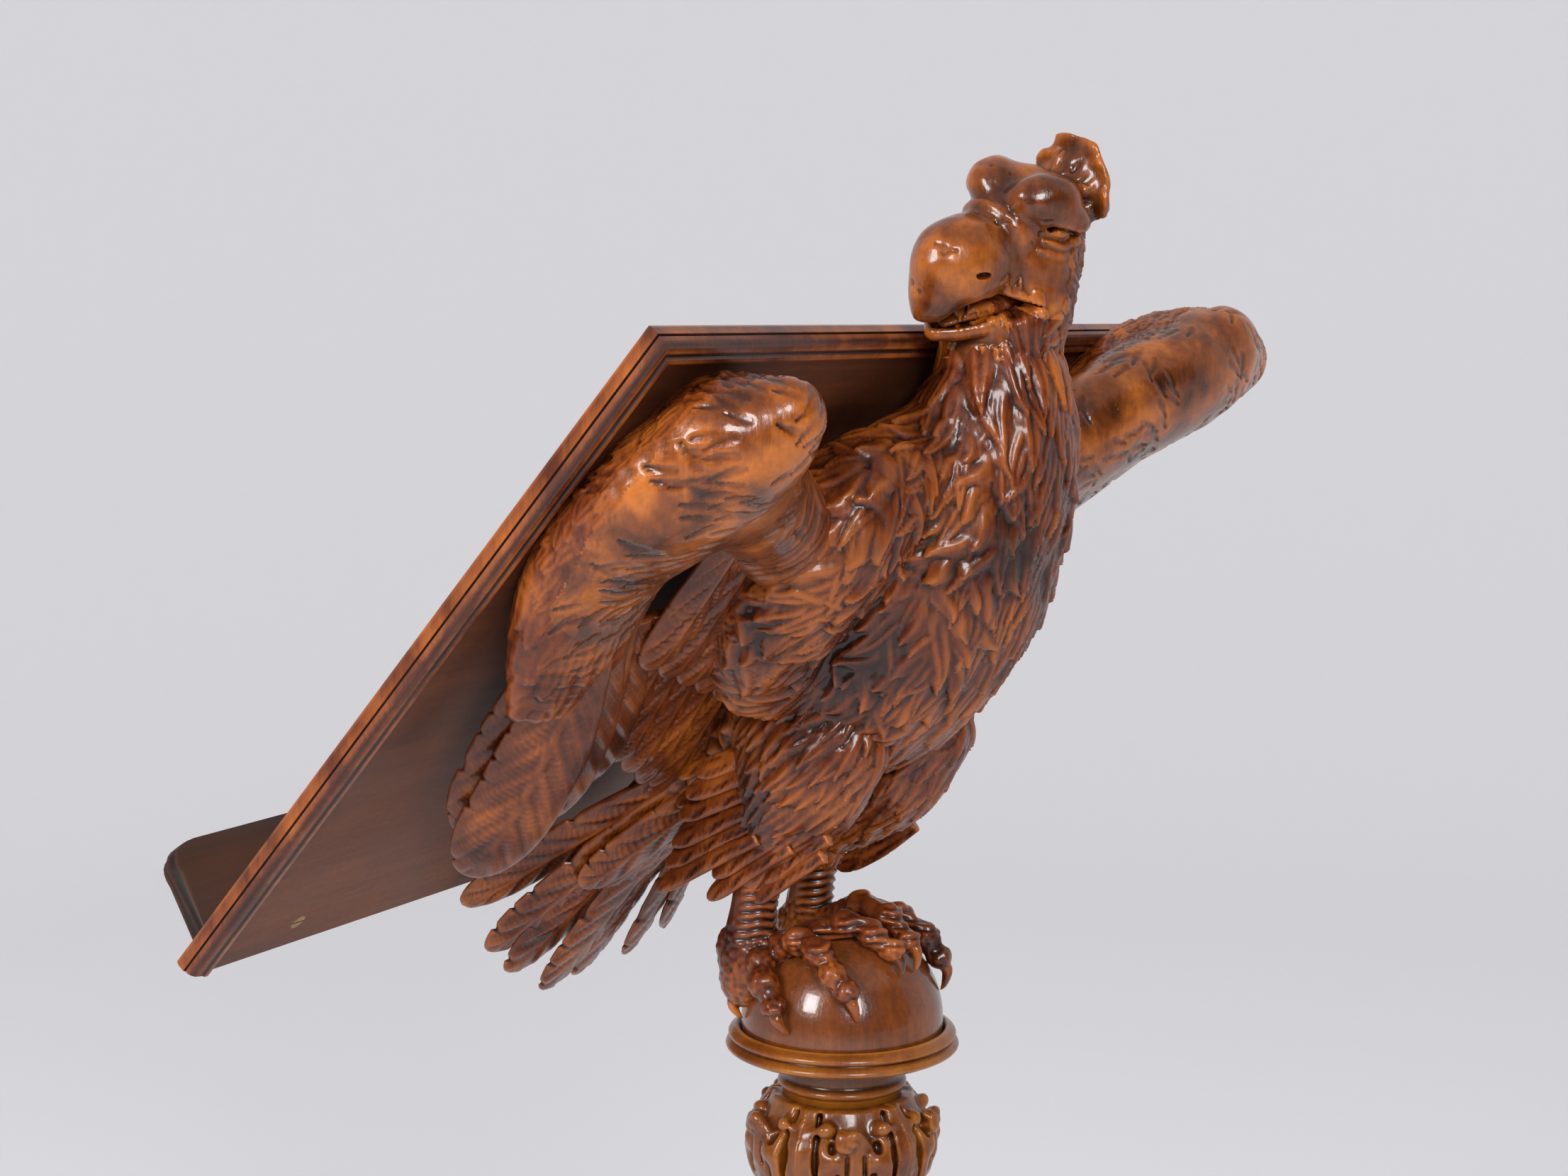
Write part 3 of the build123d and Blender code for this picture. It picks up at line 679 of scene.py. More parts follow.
def linear(code: str) -> tuple[float, float, float, float]:
    """An sRGB hex colour as linear red, green, blue and alpha."""
    parts = [int(code[i:i + 2], 16) / 255 for i in (1, 3, 5)]
    return (*(c / 12.92 if c <= 0.04045 else ((c + 0.055) / 1.055) ** 2.4 for c in parts), 1.0)


def node(tree: bpy.types.NodeTree, kind: str, settings: Optional[dict] = None,
         **inputs) -> bpy.types.Node:
    """Add a node.

    Args:
        tree: where it goes.
        kind: its type's name.
        settings: properties of the node.
        inputs: by socket name with _ for spaces or iN for a place, a value or a link's start.

    Returns:
        The node.
    """
    made = tree.nodes.new(kind)
    for key, value in (settings or {}).items():
        setattr(made, key, value)
    for key, value in inputs.items():
        place = int(key[1:]) if key[0] == "i" and key[1:].isdigit() else key.replace("_", " ")
        socket = made.inputs[place]
        if isinstance(value, bpy.types.NodeSocket):
            tree.links.new(value, socket)
        else:
            socket.default_value = value
    return made


def bare_material(name: str) -> tuple[bpy.types.Material, bpy.types.NodeTree, bpy.types.NodeSocket]:
    """A new material, its emptied tree and the object's own coordinates in it."""
    made = bpy.data.materials.new(name)
    made.use_nodes = True
    made.node_tree.nodes.clear()
    place = node(made.node_tree, "ShaderNodeTexCoord").outputs["Object"]
    return made, made.node_tree, place


def noise(tree: bpy.types.NodeTree, place: bpy.types.NodeSocket, size: float,
          **more: float) -> bpy.types.NodeSocket:
    """Noise with lumps of a size in millimetres."""
    return node(tree, "ShaderNodeTexNoise", Vector=place, Scale=1 / (size * MM), **more).outputs[0]


def times_plus(tree: bpy.types.NodeTree, a: bpy.types.NodeSocket, b: float,
               c: object) -> bpy.types.NodeSocket:
    """a times b plus c."""
    return node(tree, "ShaderNodeMath", {"operation": "MULTIPLY_ADD"}, i0=a, i1=b, i2=c).outputs[0]


@dataclass(frozen=True)
class Walnut:
    """Varnished walnut: warm brown wood under a clear glossy coat, with painted shade and dark wax in the
    cuts and painted highlight and wear on the ridges.

    Grain and pore sizes are in millimetres, and the grain runs along one axis of the object.
    """

    name: str
    # The colour of the deepest cuts: painted shade with dark wax.
    wax_and_shade: str
    dark: str
    mid: str
    light: str
    rough: float = 0.33
    coat: float = 0.55
    coat_rough: float = 0.12
    grain_mm: float = 2.2
    blotch_mm: float = 55.0
    dents: float = 0.12
    tone_shift: float = 0.0
    mottle: float = 0.75
    turn: tuple[float, float, float] = (0.0, 0.0, 0.0)

    def material(self) -> bpy.types.Material:
        """The finished material."""
        made, tree, place = bare_material(self.name)
        turned = node(tree, "ShaderNodeMapping", Vector=place, Rotation=self.turn).outputs[0]
        along = node(tree, "ShaderNodeMapping", Vector=turned, Scale=(1, 1, 0.08)).outputs[0]
        fibres = noise(tree, along, self.grain_mm, Detail=4.0, Roughness=0.6)
        streak = noise(tree, along, self.grain_mm / 0.12, Detail=3.0, Distortion=0.6)
        blotch = noise(tree, turned, self.blotch_mm, Detail=3.0)
        speck = noise(tree, turned, 3.5, Detail=3.0)
        relief = node(tree, "ShaderNodeAttribute", {"attribute_name": "relief"}).outputs["Fac"]
        barb = node(tree, "ShaderNodeAttribute", {"attribute_name": "barb"}).outputs["Fac"]
        colour = self.colour(tree, blotch, streak, fibres, relief)
        # Painted shade in the hollows: the deeper a point lies, the more its colour is mixed towards the
        # dark wax_and_shade colour.
        hollow = times_plus(tree, speck, -0.5, relief)
        wax_and_shade_mask = node(tree, "ShaderNodeMapRange", Value=hollow, From_Min=-0.12, From_Max=-0.75,
                     To_Min=0.0, To_Max=0.92)
        colour = node(tree, "ShaderNodeMix", {"data_type": "RGBA"}, i0=wax_and_shade_mask.outputs[0],
                      i6=colour, i7=linear(self.wax_and_shade))
        rare = noise(tree, turned, 15, Detail=6.0)
        rubbed = node(tree, "ShaderNodeMapRange", Value=rare, From_Min=0.715, From_Max=0.76,
                      To_Min=0.0, To_Max=self.tone_shift)
        colour = node(tree, "ShaderNodeMix", {"data_type": "RGBA"}, i0=rubbed.outputs[0],
                      i6=colour.outputs[2], i7=linear(GILT))
        gloss = node(tree, "ShaderNodeMapRange", Value=blotch, From_Min=0.3, From_Max=0.7,
                     To_Min=self.rough - 0.06, To_Max=self.rough + 0.1)
        lines = node(tree, "ShaderNodeMath", {"operation": "SINE"}, i0=barb).outputs[0]
        height = times_plus(tree, speck, 1.2, times_plus(tree, lines, 0.3, fibres))
        bump = node(tree, "ShaderNodeBump", Height=height, Strength=self.dents, Distance=1.0 * MM)
        shader = node(tree, "ShaderNodeBsdfPrincipled", Base_Color=colour.outputs[2],
                      Roughness=gloss.outputs[0], Normal=bump.outputs[0], IOR=WOOD_IOR,
                      Coat_Weight=self.coat, Coat_Roughness=self.coat_rough, Coat_IOR=COAT_IOR)
        node(tree, "ShaderNodeOutputMaterial", Surface=shader.outputs[0])
        return made

    def colour(self, tree: bpy.types.NodeTree, blotch: bpy.types.NodeSocket,
               streak: bpy.types.NodeSocket, fibres: bpy.types.NodeSocket,
               relief: bpy.types.NodeSocket) -> bpy.types.NodeSocket:
        """The wood's colour, with painted shade darkening the hollows and painted highlight and wear
        lightening the ridges.
        """
        tone = times_plus(tree, blotch, self.mottle, 0.475 - 0.5 * self.mottle)
        # The relief share paints shade into the hollows and highlight and wear onto the ridges.
        for part, share in ((streak, 0.5), (fibres, 0.25), (relief, 0.42)):
            tone = times_plus(tree, part, share, tone)
        tone = node(tree, "ShaderNodeMath", {"operation": "SUBTRACT"}, i0=tone, i1=0.38).outputs[0]
        ramp = node(tree, "ShaderNodeValToRGB", Fac=tone)
        stops = ramp.color_ramp.elements
        stops[0].position, stops[0].color = 0.0, linear(self.wax_and_shade)
        stops[1].position, stops[1].color = 0.85, linear(self.light)
        for spot, code in ((0.25, self.dark), (0.5, self.mid)):
            stops.new(spot).color = linear(code)
        return ramp.outputs[0]


@dataclass(frozen=True)
class Metal:
    """A plain metal with fine scratches in its polish."""

    name: str
    colour: str
    tarnish: str
    rough: float
    patch_mm: float = 4.0

    def material(self) -> bpy.types.Material:
        """The finished material."""
        made, tree, place = bare_material(self.name)
        patch = noise(tree, place, self.patch_mm, Detail=4.0)
        colour = node(tree, "ShaderNodeMix", {"data_type": "RGBA"}, i0=patch, i6=linear(self.colour),
                      i7=linear(self.tarnish))
        gloss = node(tree, "ShaderNodeMapRange", Value=patch, To_Min=self.rough, To_Max=self.rough + 0.2)
        shader = node(tree, "ShaderNodeBsdfPrincipled", Base_Color=colour.outputs[2],
                      Roughness=gloss.outputs[0], Metallic=1.0)
        node(tree, "ShaderNodeOutputMaterial", Surface=shader.outputs[0])
        return made


class Finishes:
    """Every finish of the lectern, made once."""

    def __init__(self) -> None:
        """Make the materials."""
        # The first colour of each finish is its painted shade with dark wax, for the hollows.
        self.carved = Walnut("varnished_carved_walnut", wax_and_shade="#120703", dark="#331408", mid="#642c0e",
                             light="#9a521a", rough=0.31, coat=0.28, mottle=1.2).material()
        self.polished = Walnut("hand_polished_walnut", wax_and_shade="#241107", dark="#4a2209", mid="#763a0f",
                               light="#aa5d1b", rough=0.27, coat=0.45, coat_rough=0.09,
                               grain_mm=1.6, dents=0.2, tone_shift=0.5, blotch_mm=34.0, mottle=1.7).material()
        self.turned = Walnut("turned_honey_walnut", wax_and_shade="#1f0e06", dark="#4f250b", mid="#6f3a10",
                             light="#985c1b", rough=0.29, coat=0.4, grain_mm=2.0).material()
        self.ball = Walnut("dark_turned_walnut", wax_and_shade="#1c0f0a", dark="#47220f", mid="#6b3616",
                           light="#8d4f22", rough=0.24, coat=0.6, coat_rough=0.08).material()
        self.moulding = Walnut("moulded_red_walnut", wax_and_shade="#1a0c07", dark="#35150a", mid="#53240e",
                               light="#9a521d", rough=0.36, coat=0.25).material()
        # The ledge's finish is a darker copy of the board's walnut: its darkness is painted shade.
        self.ledge = Walnut("painted_shade_ledge_walnut", wax_and_shade="#0d0604", dark="#150a06", mid="#1f110a",
                            light="#3c2010", rough=0.5, coat=0.0, grain_mm=3.0, blotch_mm=130.0, dents=0.05,
                            turn=(0.0, np.pi / 2, 0.0)).material()
        self.board = Walnut("stained_walnut_board", wax_and_shade="#2a160d", dark="#42200f", mid="#63341b",
                            light="#86502c", rough=0.55, coat=0.0, coat_rough=0.3, grain_mm=3.0,
                            blotch_mm=130.0, dents=0.05, turn=(0.0, np.pi / 2, 0.0)).material()
        self.beech = Walnut("plain_beech_dowel", wax_and_shade="#8a6a45", dark="#a88257", mid="#c09a6c",
                            light="#cfae82", rough=0.6, coat=0.0, grain_mm=1.0).material()
        self.brass = Metal("dull_turned_brass", "#b08d4a", "#6d5228", 0.32).material()
        self.steel = Metal("turned_steel", "#9a9a98", "#6c6a66", 0.3).material()
        self.iron = Metal("black_forged_iron", "#2b2927", "#171615", 0.55).material()


def dress(thing: bpy.types.Object, finish: bpy.types.Material, body: Body, slot: str,
          *nodes: str) -> bpy.types.Object:
    """Give a new piece its finish, its body and the CAD nodes that it stands for."""
    thing.data.materials.clear()
    thing.data.materials.append(finish)
    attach(thing, body.value)
    if nodes:
        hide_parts(*nodes)
    LOG.info("%s: %d faces", thing.name, len(thing.data.polygons))
    return thing


def second_finish(thing: bpy.types.Object, finish: bpy.types.Material, where: Array) -> None:
    """Give some of a piece's faces another finish."""
    thing.data.materials.append(finish)
    thing.data.polygons.foreach_set("material_index", where.astype(np.int32))


# --- repeated pieces as geometry trees


class Tree:
    """A geometry node tree with named inputs, baked to a plain mesh."""

    def __init__(self, name: str, sizes: dict[str, tuple[str, object]]) -> None:
        """Start a tree.

        Args:
            name: the tree's name.
            sizes: each input's kind of socket and its value, by name.
        """
        self.name, self.values = name, {key: value for key, (_, value) in sizes.items()}
        self.group = bpy.data.node_groups.new(name, "GeometryNodeTree")
        for key, (kind, _) in sizes.items():
            self.group.interface.new_socket(key, in_out="INPUT", socket_type=f"NodeSocket{kind}")
        self.group.interface.new_socket("Geometry", in_out="OUTPUT", socket_type="NodeSocketGeometry")
        self.inputs = self.group.nodes.new("NodeGroupInput").outputs

    def add(self, kind: str, settings: Optional[dict] = None, **inputs) -> bpy.types.Node:
        """Add a node whose name starts after GeometryNode or is given in full."""
        full = kind if kind.startswith(("ShaderNode", "FunctionNode")) else f"GeometryNode{kind}"
        return node(self.group, full, settings, **inputs)

    def bake(self, result: bpy.types.NodeSocket) -> bpy.types.Object:
        """Close the tree with Realize Instances and Set Material, and turn it into a mesh."""
        whole = self.add("RealizeInstances", Geometry=result).outputs[0]
        painted = self.add("SetMaterial", Geometry=whole, Material=self.inputs["Finish"]).outputs[0]
        self.group.links.new(painted, self.group.nodes.new("NodeGroupOutput").inputs[0])
        thing = bpy.data.objects.new(self.name, bpy.data.meshes.new(self.name))
        bpy.context.scene.collection.objects.link(thing)
        modifier = thing.modifiers.new(self.name, "NODES")
        modifier.node_group = self.group
        for item in self.group.interface.items_tree:
            if item.in_out == "INPUT":
                modifier[item.identifier] = self.values[item.name]
        made = bpy.data.meshes.new_from_object(thing.evaluated_get(bpy.context.evaluated_depsgraph_get()))
        thing.modifiers.clear()
        old, thing.data = thing.data, made
        bpy.data.meshes.remove(old)
        made.name = self.name
        return thing


@dataclass(frozen=True)
class Screws:
    """Slotted countersunk brass screws, all driven the same way. Millimetres."""

    name: str
    node: str
    way: Array
    head: float = 5.0
    shank: float = 2.5
    slot: float = 0.9

    def places(self) -> tuple[Array, float]:
        """The middle of each screw's head and the screws' length, from the frame's own screws."""
        points = np.array([v.co[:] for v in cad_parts[self.node].data.vertices]) / MM
        middles: list[Array] = []
        flat = points - np.outer(points @ self.way, self.way)
        while len(flat):
            near = np.linalg.norm(flat - flat[0], axis=1) < 2.5 * self.head
            middles.append(0.5 * (flat[near].min(0) + flat[near].max(0)))
            flat = flat[~near]
        reach = points @ self.way
        return np.array(middles) + self.way * reach.min(), float(np.ptp(reach))

    def build(self, finish: bpy.types.Material) -> bpy.types.Object:
        """Make the screws with a geometry tree."""
        places, length = self.places()
        spots = make_object(f"{self.name}_places", Surface(places, np.zeros((0, 4), int)))
        turn = Vector(self.way).to_track_quat("-Z", "Y").to_euler()
        tree = Tree(self.name, {
            "Places": ("Object", spots), "Finish": ("Material", finish), "Turn": ("Vector", tuple(turn)),
            "Head Radius": ("Float", self.head * MM), "Shank Radius": ("Float", self.shank * MM),
            "Length": ("Float", length * MM), "Slot": ("Float", self.slot * MM)})
        size = tree.inputs
        cone = (self.head - self.shank) * MM
        head = tree.add("MeshCone", Vertices=32, Radius_Top=size["Head Radius"],
                        Radius_Bottom=size["Shank Radius"], Depth=cone).outputs[0]
        head = tree.add("Transform", Geometry=head, Translation=(0, 0, -cone)).outputs[0]
        shank = tree.add("MeshCylinder", Vertices=20, Radius=size["Shank Radius"],
                         Depth=size["Length"]).outputs[0]
        half = times_plus(tree.group, size["Length"], -0.5, -1.5 * MM)
        drop = tree.add("ShaderNodeCombineXYZ", Z=half).outputs[0]
        shank = tree.add("Transform", Geometry=shank, Translation=drop,
                         Scale=(1, 1, 0.92)).outputs[0]
        span = tree.add("ShaderNodeCombineXYZ", X=3 * self.head * MM, Y=size["Slot"],
                        Z=2.4 * MM).outputs[0]
        blade = tree.add("MeshCube", Size=span).outputs[0]
        whole = tree.add("MeshBoolean", {"operation": "DIFFERENCE"})
        tree.group.links.new(head, whole.inputs["Mesh 1"])
        tree.group.links.new(blade, whole.inputs["Mesh 2"])
        both = tree.add("JoinGeometry")
        tree.group.links.new(whole.outputs[0], both.inputs[0])
        tree.group.links.new(shank, both.inputs[0])
        there = tree.add("ObjectInfo", Object=size["Places"]).outputs["Geometry"]
        many = tree.add("InstanceOnPoints", Points=there, Instance=both.outputs[0], Rotation=size["Turn"])
        thing = tree.bake(many.outputs[0])
        bpy.data.objects.remove(spots)
        return thing


def repeated_round(name: str, shape: bpy.types.Object, count: int,
                   finish: bpy.types.Material) -> bpy.types.Object:
    """One carved shape repeated evenly about the upright axis.

    Args:
        name: the new piece's name.
        shape: the shape to repeat, removed afterwards.
        count: how many times.
        finish: its material.

    Returns:
        All the copies as one mesh.
    """
    tree = Tree(name, {"Shape": ("Object", shape), "Count": ("Int", count),
                       "Finish": ("Material", finish)})
    spots = tree.add("Points", Count=tree.inputs["Count"]).outputs[0]
    step = tree.add("ShaderNodeMath", {"operation": "DIVIDE"}, i0=2 * np.pi,
                    i1=tree.inputs["Count"]).outputs[0]
    index = tree.add("InputIndex").outputs[0]
    angle = tree.add("ShaderNodeMath", {"operation": "MULTIPLY"}, i0=index, i1=step).outputs[0]
    turn = tree.add("ShaderNodeCombineXYZ", Z=angle).outputs[0]
    form = tree.add("ObjectInfo", Object=tree.inputs["Shape"]).outputs["Geometry"]
    many = tree.add("InstanceOnPoints", Points=spots, Instance=form, Rotation=turn).outputs[0]
    thing = tree.bake(many)
    bpy.data.objects.remove(shape)
    return thing


# --- the eagle


def along_path(points: Array, path: Sequence[Sequence[float]]) -> tuple[Array, Array]:
    """The direction of the nearest part of a path, and how far along it lies, 0 to 1."""
    rows = catmull(path, 6)
    ways = unit(np.gradient(rows, axis=0))
    near = np.argmin(((points[:, None, :] - rows[None, :, :]) ** 2).sum(2), axis=1)
    return ways[near], near / (len(rows) - 1)


def plumed(name: str, surface: Surface, feathers: Plumage) -> bpy.types.Object:
    """Carve the feathers in and store their hollows and ridges for the finish's painted shade and
    highlight.
    """
    feathers.carve()
    # The broad relief makes the finish paint shade across wide hollows, not only in fine cuts.
    fine, broad = surface.relief(7, 1.5), surface.relief(40, 5.0)
    return make_object(name, surface, {"relief": np.clip(0.7 * fine + 0.7 * broad, -1, 1),
                                       "barb": feathers.barb})


@dataclass
class Trunk:
    """The eagle's breast, belly and back."""

    step: float = 1.68
    stations: tuple = (
        (-3, -102, 1412, 38, 35), (-3, -104, 1400, 42, 38), (-1, -90, 1362, 60, 53),
        (0, -69, 1320, 76, 65), (0, -49, 1280, 80, 69), (0, -22, 1245, 74, 66),
        (0, 14, 1213, 62, 54), (0, 54, 1186, 46, 39), (0, 88, 1160, 38, 27), (0, 100, 1148, 37, 24))
    flanks: tuple = (
        ((-46, -71, 1360, 18, 22), (-90, -62, 1342, 32, 32), (-110, -40, 1312, 38, 36),
         (-104, -8, 1274, 34, 34), (-78, 12, 1240, 26, 26)),
        ((56, -46, 1310, 22, 24), (74, -26, 1284, 28, 27), (68, 4, 1246, 24, 24)))
    locks: Tuft = field(default=Tuft(48, 20, 5.4, 14.5, strands=3, groove=0.85, wave=0.16, bend=0.6,
                                     stray=0.14, point=0.9))
    curls: Tuft = field(default=Tuft(28, 20, 6.6, 12.5, strands=2, groove=1.0, wave=0.22, bend=1.2,
                                      stray=0.3, point=0.6))
    shingles: Tuft = field(default=Tuft(27, 17, 3.4, 9.5, strands=2.5, groove=0.5, wave=0.08, bend=0.25,
                                        stray=0.18, point=0.9))

    def build(self, finishes: Finishes) -> None:
        """Carve the trunk and dress it."""
        clay = Clay((-160, -150, 1120), (116, 122, 1436))
        clay.add(Limb(self.stations))
        for flank in self.flanks:
            clay.add(Limb(flank), 16)
        clay.keep(Halfspace(desk(0, 0, PANEL + 15.5), -UNDER))
        surface = Surface(*clay.skin(grain(self.step)))
        surface.points += surface.normals() * (Noise(3, 26.0)(surface.points) * 1.8)[:, None]
        p, n = surface.points, surface.normals()
        flow, share = along_path(p, [s[:3] for s in self.stations])
        front = -n[:, 1] * 0.75 + n[:, 2] * 0.1
        side = np.abs(n[:, 0])
        chest = smooth(0.66, 0.40, share)
        flank = smooth(0.35, 0.7, side + smooth(60, 90, np.abs(p[:, 0]))) * smooth(0.12, 0.3, share)
        swirl = Noise(8, 34.0)(p)
        flow = unit(flow + np.cross(n, flow) * (swirl * (0.5 + 0.9 * flank) * chest)[:, None])
        feathers = Plumage(surface, 11)
        feathers.lay(self.shingles, flow, np.clip(1 - chest * 0.8, 0.2, 1),
                     0.8 + 0.35 * smooth(0.3, 0.6, share))
        feathers.lay(self.locks, flow, chest * (1 - 0.75 * flank) * smooth(-0.2, 0.25, front + 0.4))
        feathers.lay(self.curls, flow, flank * smooth(0.9, 0.6, share))
        thing = plumed("carved_trunk", surface, feathers)
        dress(thing, finishes.carved, Body.TOP, "carved_walnut", "trunk")


@dataclass
class Head:
    """The turned head with its heavy brows, hooked beak and ragged crest, on the feathered neck."""

    step: float = 1.05
    middle: tuple = (-4.0, -119.0, 1492.0)
    turn: float = 166.0
    roll: float = 19.0
    neck: tuple = (
        (-3, -100, 1384, 39, 36), (-3, -103, 1400, 40, 36), (-4, -104, 1428, 36, 34),
        (-3, -108, 1450, 36, 36), (-2, -112, 1470, 32, 35), (-2, -108, 1484, 22, 24))
    fringe: Tuft = field(default=Tuft(21, 10.0, 3.2, 7.5, strands=2, groove=0.7, wave=0.16, bend=0.6,
                                      stray=0.34, point=0.95))

    def axes(self) -> Array:
        """Forward, left and up of the head, as rows."""
        a, r = np.radians(self.turn), np.radians(self.roll)
        ahead = np.array([np.cos(a), np.sin(a), 0])
        left = np.array([-np.sin(a), np.cos(a), 0])
        up = np.array([0, 0, 1.0])
        return np.array([ahead, left * np.cos(r) - up * np.sin(r), up * np.cos(r) + left * np.sin(r)])

    def out(self, *spots: Sequence[float]) -> Array:
        """Head coordinates (forward, left, up) as points of the lectern."""
        return np.asarray(self.middle) + np.asarray(spots, float) @ self.axes()

    def oval(self, middle: Sequence[float], radii: Sequence[float],
             spin: Sequence[float] = (0, 0, 0)) -> Oval:
        """An ellipsoid in head coordinates, spun about forward, left and up in degrees."""
        x, y, z = np.radians(spin)
        turn_x = np.array([[1, 0, 0], [0, np.cos(x), -np.sin(x)], [0, np.sin(x), np.cos(x)]])
        turn_y = np.array([[np.cos(y), 0, np.sin(y)], [0, 1, 0], [-np.sin(y), 0, np.cos(y)]])
        turn_z = np.array([[np.cos(z), -np.sin(z), 0], [np.sin(z), np.cos(z), 0], [0, 0, 1]])
        local = (turn_z @ turn_y @ turn_x).T
        return Oval(self.out(middle)[0], radii, local @ self.axes())

    def limb(self, rows: Sequence[Sequence[float]], across: Sequence[float] = (0, 1, 0)) -> Limb:
        """A limb in head coordinates."""
        spots = self.out(*[r[:3] for r in rows])
        return Limb([(*s, *r[3:]) for s, r in zip(spots, rows)], tuple(np.asarray(across) @ self.axes()))

    def lump(self) -> Clay:
        """The head and neck before the feathers."""
        clay = Clay((-118, -205, 1380), (62, -40, 1562))
        clay.add(Limb(self.neck))
        clay.add(self.oval((-3, 0, -3), (34, 29, 31)), 12)
        clay.add(self.oval((8, 0, 17), (28, 24, 17)), 8)
        clay.add(self.oval((14, 0, -14), (27, 27, 20)), 9)
        clay.add(self.oval((27, 0, 4), (19, 23, 15)), 6)
        clay.add(self.oval((49, 0, -18), (36, 25, 26.5), (0, 10, 0)), 6)
        clay.add(self.limb([(56, 0, -28, 20, 18), (66, 0, -38, 15, 14), (70, 0, -46, 9.5, 9),
                            (69, 0, -53, 4.5, 4.5)]), 8)
        self.open_mouth(clay)
        for side in (-1, 1):
            self.brow_and_eye(clay, side)
            clay.cut(self.oval((59, side * 20.5, -19.5), (7.5, 4, 2.0), (0, 4, -side * 32)), 1.5)
        for back, rise in ((0, 2.4), (-5.5, 2.0)):
            fold = [(26, -20, -8), (31, -21.5, 4), (37, -12, 12), (41, 0, 14.5), (37, 12, 12),
                    (31, 21.5, 4), (26, 20, -8)]
            clay.add(self.limb([(x + back, y, z, rise, rise) for x, y, z in fold], (1, 0, 0)), 3)
        crease = [(28, -28, -24), (33, -26, -8), (37, -20, 5), (43, 0, 12.5), (37, 20, 5),
                  (33, 26, -8), (28, 28, -24)]
        clay.cut(self.limb([(x + 3, y, z + 1, 1.5, 2.2) for x, y, z in crease], (1, 0, 0)), 2.5)
        clay.cut(self.limb([(38, 0, 31, 2, 4), (22, 0, 36, 3, 5), (2, 0, 42, 3, 4)]), 6)
        self.crest(clay)
        return clay

    def open_mouth(self, clay: Clay) -> None:
        """Cut the gape and set a thin scooped lower jaw with a tongue in it."""
        upper = ((10, -33), (20, -32), (35, -31), (50, -33), (58, -38), (64, -45), (68, -51), (90, -60))
        lower = ((10, -31), (24, -43), (38, -51), (50, -57), (60, -63), (90, -70))
        clay.cut(Gape(self.middle, self.axes(), upper, lower), 1.2)
        clay.add(self.limb([(2, 0, -44, 25, 12), (22, 0, -46, 25, 11.5), (38, 0, -52, 21.5, 9.5),
                            (50, 0, -57, 13.5, 7), (58, 0, -60, 6, 4.5)]), 2)
        clay.cut(self.limb([(12, 0, -35, 23.2, 7.5), (24, 0, -38, 23.4, 9.5), (38, 0, -44, 20, 9.5),
                            (50, 0, -51, 12, 7), (58, 0, -55.5, 4.5, 4)]), 1)
        clay.add(self.limb([(2, 0, -39, 20, 8), (18, 0, -40, 16.5, 6.5), (34, 0, -45.5, 12.5, 5),
                            (46, 0, -51.5, 7.5, 3.4), (52, 0, -55, 4, 2.5)]), 1.2)

    def brow_and_eye(self, clay: Clay, side: int) -> None:
        """A heavy drooping brow with a deep eye slit and wrinkles under it."""
        clay.add(self.oval((16, side * 18.5, 24), (22, 15.5, 14.5), (0, 6, -side * 24)), 5)
        clay.add(self.oval((6, side * 24.5, 18.5), (19, 10.5, 10.5), (0, -10, -side * 26)), 7)
        clay.add(self.oval((-2, side * 9, 24), (20, 14, 13), (0, 6, -side * 10)), 7)
        clay.cut(self.oval((3, side * 31, 8.5), (14, 8, 2.9), (0, -8, -side * 20)), 2)
        clay.add(self.oval((5, side * 26.5, 8), (6, 4.5, 3.6)), 1.2)
        for drop, reach in ((0.0, 16), (5.5, 19), (10.5, 15)):
            clay.add(self.limb([(reach, side * 27.5, 3 - drop, 1.3, 1.3),
                                (4, side * 31, 1 - drop, 1.9, 1.8),
                                (-8, side * 30, 4.5 - drop, 1.4, 1.4)]), 2.2)

    def crest(self, clay: Clay) -> None:
        """A ragged cupped fan of broad lobes behind the brows."""
        for angle, reach, wide in ((-42, 31, 9), (-14, 39, 11.5), (14, 39, 11), (40, 35, 10.5),
                                   (66, 31, 9.5), (94, 20, 8)):
            a = np.radians(angle)
            y, z = np.sin(a), np.cos(a)
            rows = [(-17, 2 + 6 * y, 18 + 6 * z, wide * 0.8, 7),
                    (-24, 2 + reach * 0.55 * y, 18 + reach * 0.55 * z, wide * 1.15, 5.5),
                    (-26, 2 + reach * 0.82 * y, 18 + reach * 0.82 * z, wide * 1.1, 4.0),
                    (-23, 2 + reach * y, 18 + reach * z, wide * 0.7, 2.4)]
            clay.add(self.limb(rows, (0, z, -y)), 2.6)
            groove = [(-19, 2 + reach * k * y, 18 + reach * k * z, 2.0, 1.6)
                      for k in (0.35, 0.6, 0.8, 0.98)]
            clay.cut(self.limb(groove, (0, z, -y)), 2.5)

